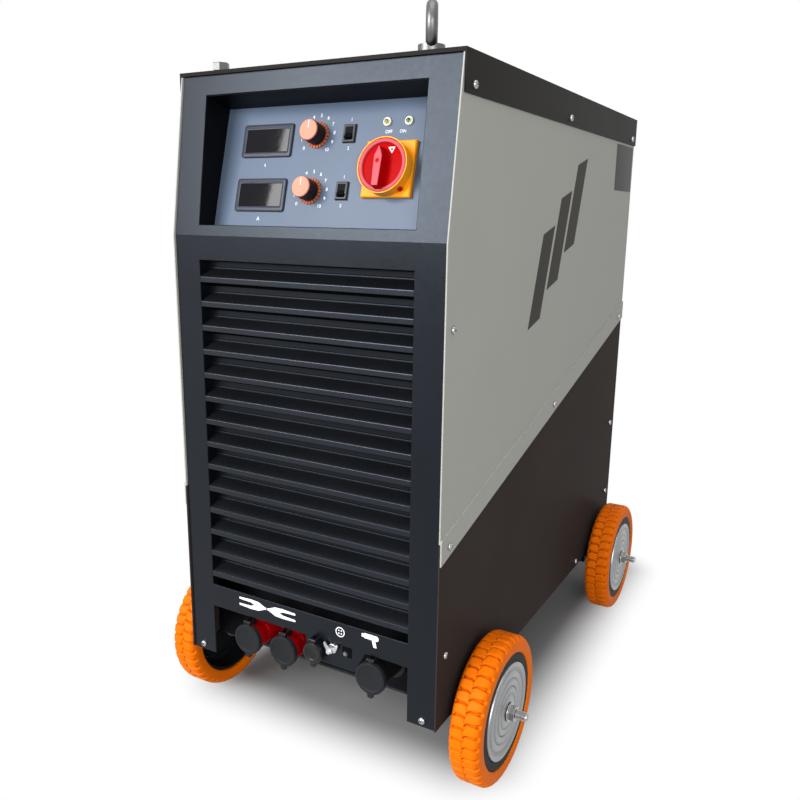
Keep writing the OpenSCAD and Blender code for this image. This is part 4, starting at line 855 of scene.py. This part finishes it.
def dial_blocks():
    inner, outer = BLOCK_RADII
    half = math.pi / DIAL_BLOCKS * BLOCK_SHARE
    turns = [half * (k / 2 - 1) for k in range(5)]
    block = press(on_circle(outer, turns) + on_circle(inner, turns[::-1]), 0.4, 2.0, edge=0.35)
    return gather([(block, Matrix.Rotation(2 * math.pi * k / DIAL_BLOCKS, 4, "Z"))
                   for k in range(DIAL_BLOCKS)])


def both_dials(shape):
    """The same shape at the upper and at the lower dial, in the panel's own millimetres."""
    return gather([(shape, at(KNOB_X, row, 0)) for row in KNOB_ROWS.values()])


def lettering(words, size):
    curve = bpy.data.curves.new("mark", "FONT")
    curve.body = words
    curve.size = size
    curve.extrude = PRINT_HALF
    curve.align_x = "CENTER"
    curve.align_y = "CENTER"
    return final_shape(add_object("mark", curve))


def number_ring():
    turns = [math.radians(FIRST_NUMBER_DEG - NUMBER_STEP_DEG * number) for number in range(11)]
    return gather([(lettering(str(number), NUMBER_SIZE), at(x, y, PRINT_LIFT))
                   for number, (x, y) in enumerate(on_circle(NUMBER_RADIUS, turns))])


PANEL = panel_frame(0, 0)
dial_base = spin([(6, 0), (15.8, 0), (15.8, 0.5), (6, 0.5)], steps=64, closed=True)
place_piece("dial_bases", both_dials(dial_base), "black_plastic", "cabinet", PANEL)
place_piece("dial_blocks", both_dials(dial_blocks()), "dial_orange", "cabinet", PANEL, ["dial_rings"])
print(DIAL_BLOCKS, "blocks on each dial")

# %% [markdown]
# ## Caps and index lines
# The knob itself is a CAD solid. Its cap is slightly dished, so that the light runs round its edge.
# A flat disc with a bump would do from the front, but a turned profile keeps the edge round from any
# side. The cap and its index line turn with the knob, while the numbers stay on the panel.

# %% Turn the caps
for knob, row in KNOB_ROWS.items():
    here = panel_frame(KNOB_X, row)
    cap = spin([(CAP_R, KNOB_TOP), (CAP_R, KNOB_TOP + 1.1), (CAP_R - 0.4, KNOB_TOP + 1.8),
                (CAP_R - 1.1, KNOB_TOP + 2.1), (CAP_R - 3.2, KNOB_TOP + 1.9), (0, KNOB_TOP + 1.7)], steps=64)
    place_piece(knob + "_cap", cap, "salmon_plastic", knob + "_dial", here, [knob + "_knob_cap"])
    index = press(INDEX, KNOB_TOP + 1.6, KNOB_TOP + 2.15)
    place_piece(knob + "_index", index, "white_print", knob + "_dial", here)
    place_piece(knob + "_numbers", number_ring(), "white_print", "cabinet", here)
print(len(KNOB_ROWS), "dials numbered 0 to 10")

# %% [markdown]
# ## Meters
# Two panel meters show the time and the current behind dark windows. A moulded bezel has rounded
# corners, a soft outer edge and a thin step round the window. All of these are outlines of the same
# number of points, so a skin stretched from one to the next makes the whole case.

# %% Mould the meter cases
METER_X = -87.0
METER_ROWS = (108.0, 39.0)


def meter_shape():
    """Skin over steps of (width, height, corner radius, height above the panel)."""
    steps = ((74, 38, 1, -44), (74, 38, 1, 0), (78, 42, 3.5, 0), (78, 42, 3.5, 1.7), (77.2, 41.2, 3.2, 2.6),
             (75.8, 39.8, 2.8, 3.0), (70.6, 33.2, 1.8, 3.0), (70.0, 32.6, 1.6, 2.7), (68.8, 31.2, 1.2, 2.5),
             (67.2, 29.4, 0.8, 2.3), (66.9, 28.9, 0.6, 0.9))
    return loft([[(x, y, z) for x, y in round_corners(w, h, r)] for w, h, r, z in steps])


cases = gather([(meter_shape(), at(METER_X, row, 0)) for row in METER_ROWS])
place_piece("meter_bezels", cases, "meter_plastic", "cabinet", PANEL, ["meter_cases"])
print(len(METER_ROWS), "meters")

# %% [markdown]
# ## Main switch
# A red disc with a raised rim and a tall pointed grip turns in a yellow cup, and the cup stands on a
# yellow plate. The rim and the top of the grip are matt and look pink beside the glossy disc: their
# pink is painted sheen, a lighter copy of the red where light catches them. So they are pieces of
# their own with a finish of their own. All of them turn with the handle.

# %% Build the handle
# Painted sheen: this matt red is a lighter, pinker copy of the handle's red, for the rim and the top of the
# grip where light catches them.
finish("matt_red_with_painted_sheen", (0.50, 0.085, 0.105), 0.5, drift=0.06, grain=900, gloss=0.12)
finish("handle_red", (0.37, 0.0012, 0.002), 0.2, drift=0.06, grain=800, gloss=0.012)
SWITCH = panel_frame(98, 68.5)
DISC_LOW = 15.4
DISC_FACE = 17.9
RIM_TOP = 20.9
GRIP_TOP = 30.9
PAD_THICK = 0.7
GRIP_SHOULDER = 7.4
# Foot, tip, growth in width and height of each level of the grip
GRIP_LEVELS = ((-29.0, 19.2, 0.6, DISC_FACE - 0.4), (-26.6, 18.2, 0.1, GRIP_TOP - PAD_THICK))
RIVET_UP = 1.5


def grip_outline(foot, tip, grow=0.0):
    """The grip seen from the front: a bar with a point at the top and a narrower foot."""
    half = 5 + grow
    foot_half = 4 + grow
    return [(-foot_half, foot), (foot_half, foot), (half, GRIP_SHOULDER),
            (0.5, tip), (-0.5, tip), (-half, GRIP_SHOULDER)]


def on_handle(name, shape, finish_name, replaced=(), matrix=SWITCH):
    place_piece(name, shape, finish_name, "switch_handle", matrix, replaced)


disc = spin([(0, DISC_LOW), (29.8, DISC_LOW), (30.3, DISC_LOW + 0.5), (30.3, 17.4),
             (26, DISC_FACE), (0, DISC_FACE)], RIM_STEPS)
on_handle("handle_disc", disc, "handle_red", ["switch_handle"])
rim = ring([(26.2, 17.4), (26.4, 20.2), (26.9, 20.7), (27.6, RIM_TOP), (29.2, RIM_TOP),
            (30.0, 20.6), (30.5, 19.9), (30.5, 16.4), (30.0, 16.0)])
on_handle("handle_rim", rim, "matt_red_with_painted_sheen")
bar = loft([[(x, y, z) for x, y in grip_outline(foot, tip, grow)] for foot, tip, grow, z in GRIP_LEVELS])
on_handle("handle_grip", bar, "handle_red")
pad = press(grip_outline(-26.4, 18.0), GRIP_TOP - PAD_THICK, GRIP_TOP, edge=0.4)
on_handle("handle_pad", pad, "matt_red_with_painted_sheen")
rivet = spin([(2.6, GRIP_TOP - 0.3), (2.6, GRIP_TOP + 0.02), (2.2, GRIP_TOP + 0.08),
              (0, GRIP_TOP + 0.05)], steps=32)
on_handle("handle_rivet", rivet, "red_plastic", matrix=SWITCH @ at(0, RIVET_UP * MM, 0))
mark = press([(4.5, 20.6), (10, 13.5), (13.5, 21.0)], DISC_FACE, DISC_FACE + 0.15)
on_handle("handle_mark", mark, "white_print")
core = press([(7.0, 19.2), (9.9, 15.6), (11.7, 19.4)], DISC_FACE, DISC_FACE + 0.25)
on_handle("handle_mark_core", core, "handle_red")
print("switch handle of seven pieces")

# %% [markdown]
# ## Lock tab
# A small red tab sits at the lower right of the yellow cup. It stays where it is when the handle
# turns, so it is a piece of its own: a pressed block with a round edge, laid against the cup's side.

# %% Press the lock tab
TAB = [(-3, -2.4), (3, -2.4), (3, 2.4), (-3, 2.4)]
TAB_THICK = 3.4
TAB_OUT = 31.6
TAB_UP = 10
TAB_TURN = Matrix.Rotation(math.radians(-48), 4, "Z")
tab_place = SWITCH @ TAB_TURN @ at(TAB_OUT * MM, 0, TAB_UP * MM) @ sideways(1)
place_piece("switch_lock_tab", press(TAB, 0, TAB_THICK, edge=0.8), "red_plastic", "cabinet", tab_place)
print("lock tab on the cup")

# %% [markdown]
# ## Lamps and panel marks
# Two small lamps sit at the top right of the panel, each a pale bezel round a coloured lens. Plain
# marks are printed where a user needs them: the switch positions, and the units on the meters.

# %% Lenses and marks
finish("amber_lens", (0.20, 0.16, 0.04), 0.15, grain=300, Transmission_Weight=0.2)
finish("green_lens", (0.03, 0.08, 0.04), 0.15, grain=300, Transmission_Weight=0.2)
LENS_X = {"amber_lens": 86, "green_lens": 115}
LENS_ROW = 125
for lens, x in LENS_X.items():
    dome = spin([(2.7, 3.9), (2.6, 4.2), (1.8, 4.7), (0, 5.0)], steps=32)
    place_piece(lens + "_dome", dome, lens, "cabinet", panel_frame(x, LENS_ROW))

# Words, place across, place up the panel and size
PANEL_MARKS = (("OFF", 89, 113.5, 5.5), ("ON", 108, 113.5, 5.5), ("s", -87, 78, 7.0), ("A", -87, 9, 7.0),
               ("1", 35.5, 130, 5.5), ("2", 35.5, 95.5, 5.5), ("1", 35.5, 61, 5.5), ("2", 35.5, 26.5, 5.5))
marks = [(lettering(words, size), at(x, s, PRINT_LIFT)) for words, x, s, size in PANEL_MARKS]
place_piece("panel_marks", gather(marks), "white_print", "cabinet", PANEL)
print(len(PANEL_MARKS), "marks")

# %% [markdown]
# ## Earth stud
# A wing nut on a stud stands on the tongue of the front panel. Its wings are thin curved ears on a
# round nut. They could be modelled point by point, but one pressed outline that leans outwards is
# enough, because the second wing is the first one turned half way round.

# %% Wing nut, stud and access screw
NUT = [(0, 0), (6.6, 0), (6.6, 0.8), (5.6, 1.2), (5.4, 4), (4.2, 7), (2.6, 7.2)]
STUD_THREAD = [(r, z) for k in range(4) for r, z in ((2.5, 7.4 + 1.1 * k), (3.0, 7.9 + 1.1 * k))]
STUD_END = [(0, 11.9)]
WING = [(3.2, -3), (6.2, -2.6), (9.8, 3.2), (11.0, 7.4), (10.2, 9.2), (8.2, 9.0), (5.6, 5.2), (3.2, 3.4)]
WING_LOW = 2.6
WING_HIGH = 5.2


def on_front(x, y, z):
    """A place at the front of the cabinet, with z out of the sheet."""
    return Matrix.Translation(cab(x, y, z)) @ TO_FRONT


def wing_nut():
    body = spin(NUT + STUD_THREAD + STUD_END, steps=32)
    turned = at(0, 0, WING_LOW + WING_HIGH) @ Matrix.Rotation(math.pi, 4, "Y")
    wings = [(press(WING, WING_LOW, WING_HIGH, edge=0.6), turn) for turn in (STAY, turned)]
    return gather([(body, STAY)] + wings)


place_piece("wing_nut", wing_nut(), "aluminium", "cabinet", on_front(46, 0, 68), ["earth_terminal"])
place_piece("access_screw", screw_head(), "core_steel", "cabinet", on_front(62, 4.4, 62))
print("earth stud built")

# %% [markdown]
# ## Sockets and lids
# The weld cables plug into round sockets under rubber flap lids, which hang from a hinge and carry a
# small tab to lift them by. The earth sockets have red barrels, but their hinges are black, so each
# barrel is turned on the lathe as one piece and its two hinge ears are pressed as another.

# %% Barrels and hinges
SOCKET_Z = 43.0
LID_R = 22.0
EARTH_X = {"left_earth": -93.0, "right_earth": -32.0}
BARREL = [(20, -0.6), (20, -9), (18, -13), (18.3, -20), (18.9, -20.6), (18.9, -23.4), (18.4, -24), (19, -44),
          (24, -44), (24, -50), (14.5, -50), (14.5, -78), (10.6, -78), (10.6, -7), (17, -7), (17, -0.6),
          (17.6, 0), (19.4, 0)]
HINGE_R = 2.4
HINGE_OUT = 3.9
HINGE_CLEAR = 0.6
HINGE_UP = LID_R + HINGE_R + HINGE_CLEAR
HINGE_HALF = 3.0
PIN_R = 1.1
EAR_GAP = 0.4
EAR_IN = HINGE_HALF + EAR_GAP
EAR_W = 1.8
EAR_NOSE = on_circle(HINGE_R, [math.radians(a) for a in range(90, 271, 20)])
EAR = [(x - HINGE_OUT, y + HINGE_UP) for x, y in EAR_NOSE] + [(4, 22.6), (4, 16), (9, 16), (9, 27.4)]
ACROSS, BACK, UP = (Vector(axis) for axis in ((1, 0, 0), (0, 1, 0), (0, 0, 1)))


def hinge_shape():
    """Two ears and a pin, drawn from the side: x back, y up and z across."""
    ears = [(press(EAR, x, x + EAR_W), STAY) for x in (-EAR_IN - EAR_W, EAR_IN)]
    end = EAR_IN + EAR_W
    pin = spin([(0, -end), (PIN_R, -end), (PIN_R, end), (0, end)], steps=16)
    return gather(ears + [(pin, at(-HINGE_OUT, HINGE_UP, 0))])


barrel = spin(BARREL, steps=64, closed=True)
barrels = gather([(barrel, at(x, SOCKET_Z, 0)) for x in EARTH_X.values()])
place_piece("earth_barrels", barrels, "red_plastic", "cabinet", on_front(0, 0, 0), ["earth_sockets"])
for name, x in EARTH_X.items():
    place_piece(name + "_hinge", hinge_shape(), "black_plastic", "cabinet",
                matrix_of(BACK, UP, ACROSS, cab(x, 0, SOCKET_Z)))
print(len(EARTH_X), "earth sockets")

# %% [markdown]
# ## Lids
# Each lid is a round flap with a thick rim, a tab below it and a leaf above it that ends in a knuckle
# on the hinge pin. One mould with its radius as the only size makes all four, and each flap rides on
# its own hinge, so that it swings up on its pin.

# %% Mould the lids
# Place across, height, radius and how far in front of the sheet
LIDS = {name + "_lid": (x, SOCKET_Z, LID_R, 0.0) for name, x in EARTH_X.items()}
LIDS["gun_lid"] = (107.0, 46.4, LID_R, 0.0)
LIDS["control_lid"] = (21.0, 59.0, 14.5, 5.0)
KNUCKLE_BORE_R = 1.2
LEAF_RANGE = (1.9, 5.9)


def lid_shape(radius):
    """A lid seen from the front: x across, y up and z towards the viewer."""
    r = radius
    disc = spin([(0, 6.2), (r - 6.4, 6.2), (r - 5.7, 6.4), (r - 4.8, 7.1), (r - 4.0, 7.4), (r - 1.8, 7.3),
                 (r - 0.6, 6.7), (r, 5.5), (r, 0.9), (r - 0.5, 0.4), (0, 0.4)], steps=64)
    up = r + HINGE_R + HINGE_CLEAR
    tab = press([(-5, 3 - r), (5, 3 - r), (5, -r), (3.6, -r - 5), (2.4, -r - 6),
                 (-2.4, -r - 6), (-3.6, -r - 5), (-5, -r)], *LEAF_RANGE, edge=0.9)
    w = HINGE_HALF
    leaf = press([(-w, r - 4), (w, r - 4), (w, up), (-w, up)], *LEAF_RANGE)
    knuckle = spin([(KNUCKLE_BORE_R, -w), (2.1, -w), (HINGE_R, 0.3 - w), (HINGE_R, w - 0.3), (2.1, w),
                    (KNUCKLE_BORE_R, w)], steps=32, closed=True)
    on_hinge = at(0, up, HINGE_OUT) @ sideways(1)
    return gather([(disc, STAY), (tab, STAY), (leaf, STAY), (knuckle, on_hinge)])


for name, (x, z, radius, out) in LIDS.items():
    colour = "black_plastic" if name == "control_lid" else "lid_rubber"
    place_piece(name + "_flap", lid_shape(radius), colour, name, on_front(x, -out, z), [name])
print(len(LIDS), "lids")

# %% [markdown]
# ## Printed signs
# White signs on the apron say what each socket is for: a clamp for the two earth cables, a ring of
# pins for the control cable and a gun for the weld cable. They are this model's own simple shapes,
# drawn as flat outlines a fraction of a millimetre thick.

# %% Draw the signs
SIGN_THICK = 0.12
SIGN_OUT = 0.05
SIGN_Z = 95.0
CLAMP_SCALE = 1.7
CLAMP_HALF = [(3, 0.5), (0, 1.2), (-6, 3.8), (-14, 4.2), (-26, 3.6), (-26, 1.9), (-14, 1.4)]
CLAMP_HINGE = [(-10, 0)]
CLAMP_X = (-66, -58)
GUN_HALF = [(-13, 2.4), (-9, 2.4), (-9, 3.6), (10, 3.6), (12, 1.8)]
GUN_GRIP = [(2, -3.2), (7, -3.2), (9.5, -13), (4.5, -13)]
GUN_PLACE = at(104, 101, 0)
PINS_X = 58.0
PIN_RING = (5.6, 7.0)
PIN_CIRCLE_R = 2.8
PIN_DOT_R = 1.1
PIN_TURNS = [math.pi / 4 + math.pi / 2 * k for k in range(4)]


def mirrored(half):
    """The lower half of an outline whose upper half is given, run backwards."""
    return [(x, -y) for x, y in reversed(half)]


def film(outline):
    return press(outline, 0, SIGN_THICK)


def sign_shapes():
    clamp = [(CLAMP_SCALE * x, CLAMP_SCALE * y)
             for x, y in CLAMP_HALF + CLAMP_HINGE + mirrored(CLAMP_HALF)]
    inner, outer = PIN_RING
    socket = [(inner, 0), (outer, 0), (outer, SIGN_THICK), (inner, SIGN_THICK)]
    pin = [(0, 0), (PIN_DOT_R, 0), (PIN_DOT_R, SIGN_THICK), (0, SIGN_THICK)]
    flat = [(film(clamp), at(CLAMP_X[0], SIGN_Z, 0)),
            (film([(-x, y) for x, y in reversed(clamp)]), at(CLAMP_X[1], SIGN_Z, 0)),
            (film(GUN_HALF + mirrored(GUN_HALF)), GUN_PLACE),
            (film(GUN_GRIP), GUN_PLACE),
            (spin(socket, steps=40, closed=True), at(PINS_X, SIGN_Z, 0))]
    flat += [(spin(pin, steps=16), at(PINS_X + x, SIGN_Z + y, 0))
             for x, y in on_circle(PIN_CIRCLE_R, PIN_TURNS)]
    return gather(flat)


place_piece("apron_signs", sign_shapes(), "white_print", "cabinet", on_front(0, -SIGN_OUT, 0))
print("apron signs drawn")

# %% [markdown]
# ## Side panels
# Each grey side carries a plain decoration of three slanted black bars, cut from film, and the right
# one has a bare metal rating plate near its rear edge. Film is thin, so the bars stand only a
# fraction of a millimetre off the sheet.

# %% Bars and plate
finish("black_film", (0.040, 0.036, 0.030), 0.4, grain=500, gloss=0.03)
finish("plate_metal", (0.075, 0.075, 0.072), 0.5, grain=400, stretch=(1, 14, 1), gloss=0.1)
# Place behind the front face, lower end and upper end of each bar
BARS = ((250, 470, 610), (318, 520, 660), (386, 570, 710))
BAR_WIDTH = 46
BAR_STEP = 12
BAR_LEAN = 0.32
FILM_THICK = 0.15
PLATE = [(640, 668), (745, 668), (745, 745), (640, 745)]
PLATE_THICK = 0.6


def slanted_bar(y, low, high):
    lean = (high - low) * BAR_LEAN
    return [(y, low), (y + BAR_WIDTH, low + BAR_STEP), (y + BAR_WIDTH + lean, high),
            (y + lean, high - BAR_STEP)]


def side_matrix(side):
    """Turns a drawing in (y, z) so that it lies on a side panel and faces outwards."""
    return matrix_of(side * BACK, UP, side * ACROSS, cab(side * SHEET_X, 0, 0))


for label, side in SIDES.items():
    outlines = [[(y * side, z) for y, z in slanted_bar(*bar)] for bar in BARS]
    bars = gather([(press(outline, 0, FILM_THICK), STAY) for outline in outlines])
    place_piece(label + "_side_bars", bars, "black_film", "cabinet", side_matrix(side))

plate = press(PLATE, 0, PLATE_THICK, edge=0.3)
place_piece("rating_plate", plate, "plate_metal", "cabinet", side_matrix(1))
print(len(BARS), "bars on each side")

# %% [markdown]
# ## Floor
# A product like this is photographed on a white sweep. A floor of plain grey paint would show where
# it ends, so it keeps its grey, and with it the machine's shadow, only close to the wheels. That grey
# area is a box shifted back and to the right, where the shadow falls, so its grey is painted shade
# around the cast shadow. Further out it fades to a white of its own, which the camera and the shiny
# pieces see but which lights nothing.

# %% Lay the floor
WHITE = (1, 1, 1, 1)
FLOOR_HALF = 14.0
FLOOR_GREY = 0.26
FLOOR_ROUGHNESS = 0.9
SHADE_MIDDLE = (-0.012, 0.10, 0.0)
SHADE_HALF = (0.19, 0.35, 1.0)
SHADE_FADE = 0.125


def build_floor():
    mesh = bpy.data.meshes.new("studio_floor")
    corners = [(-1, -1), (1, -1), (1, 1), (-1, 1)]
    mesh.from_pydata([(x * FLOOR_HALF, y * FLOOR_HALF, 0) for x, y in corners], [], [(0, 1, 2, 3)])
    floor = add_object("studio_floor", mesh)
    material, shader, wire = new_material("white_sweep")
    shader.inputs["Base Color"].default_value = (FLOOR_GREY, FLOOR_GREY, FLOOR_GREY, 1)
    shader.inputs["Roughness"].default_value = FLOOR_ROUGHNESS
    shader.inputs["Specular IOR Level"].default_value = 0.0
    # Painted shade: the floor keeps its grey inside a box round the machine, shifted to where its shadow
    # falls, and fades to white beyond it.
    place = wire.vector("SUBTRACT", wire.node("NewGeometry", output=0), SHADE_MIDDLE)
    beyond = wire.vector("SUBTRACT", wire.vector("ABSOLUTE", place, SHADE_HALF), SHADE_HALF)
    beyond = wire.vector("MAXIMUM", beyond, (0, 0, 0))
    distance = wire.node("VectorMath", {"operation": "LENGTH"}, {0: beyond}, output=1)
    fade = {"Value": distance, "From Min": 0.0, "From Max": SHADE_FADE}
    far = wire.node("MapRange", {"interpolation_type": "SMOOTHSTEP"}, fade) * wire.seen_ray()
    glow = wire.node("Emission", None, {"Color": WHITE, "Strength": 1.0})
    mixed = wire.node("MixShader", None, {0: far, 1: Wire(wire.tree, shader.outputs[0]), 2: glow})
    wire.tree.links.new(mixed.socket, wire.tree.nodes["Material Output"].inputs["Surface"])
    mesh.materials.append(material)


build_floor()
print("floor of", 2 * FLOOR_HALF, "m")

# %% [markdown]
# ## Lamps and sky
# The world gives the even part of the light and shows plain white behind the machine. A tall soft
# lamp at the front left shines down on the sloping fascia, which mirrors it, while the upright sheets
# below stay dark. Two weaker lamps, at the right and overhead, lift the side and the top.

# %% Light the studio
def build_sky(strength):
    world = bpy.data.worlds.new("studio")
    bpy.context.scene.world = world
    world.use_nodes = True
    tree = world.node_tree
    background = tree.nodes["Background"]
    wire = Wire(tree)
    wire.feed(background.inputs["Strength"], strength + wire.seen_ray() * (1 - strength))
    background.inputs["Color"].default_value = WHITE


def soft_lamp(name, place, target, width, height, watts):
    lamp = bpy.data.lights.new(name, "AREA")
    lamp.shape = "RECTANGLE"
    lamp.size = width
    lamp.size_y = height
    lamp.energy = watts
    holder = add_object(name, lamp)
    holder.location = place
    holder.rotation_euler = (Vector(target) - Vector(place)).to_track_quat("-Z", "Y").to_euler()


SKY_STRENGTH = 0.34
LAMPS = {
    "front_left_lamp": {"place": (-1.545, -3.278, 1.88), "target": (0, -0.35, 0.83),
                        "width": 1.84, "height": 1.7, "watts": 170},
    "right_lamp": {"place": (1.8, -2.6, 1.2), "target": (0.2, -0.3, 0.5),
                   "width": 1.6, "height": 1.6, "watts": 59},
    "top_lamp": {"place": (0.2, -0.4, 3.6), "target": (0, -0.1, 0),
                 "width": 2.4, "height": 2.4, "watts": 38},
}
build_sky(SKY_STRENGTH)
for name, settings in LAMPS.items():
    soft_lamp(name, **settings)
bpy.context.scene.view_settings.view_transform = "Standard"
print("studio with", len(LAMPS), "lamps")

# %% [markdown]
# ## The end

# %% Finish
print("scene built")
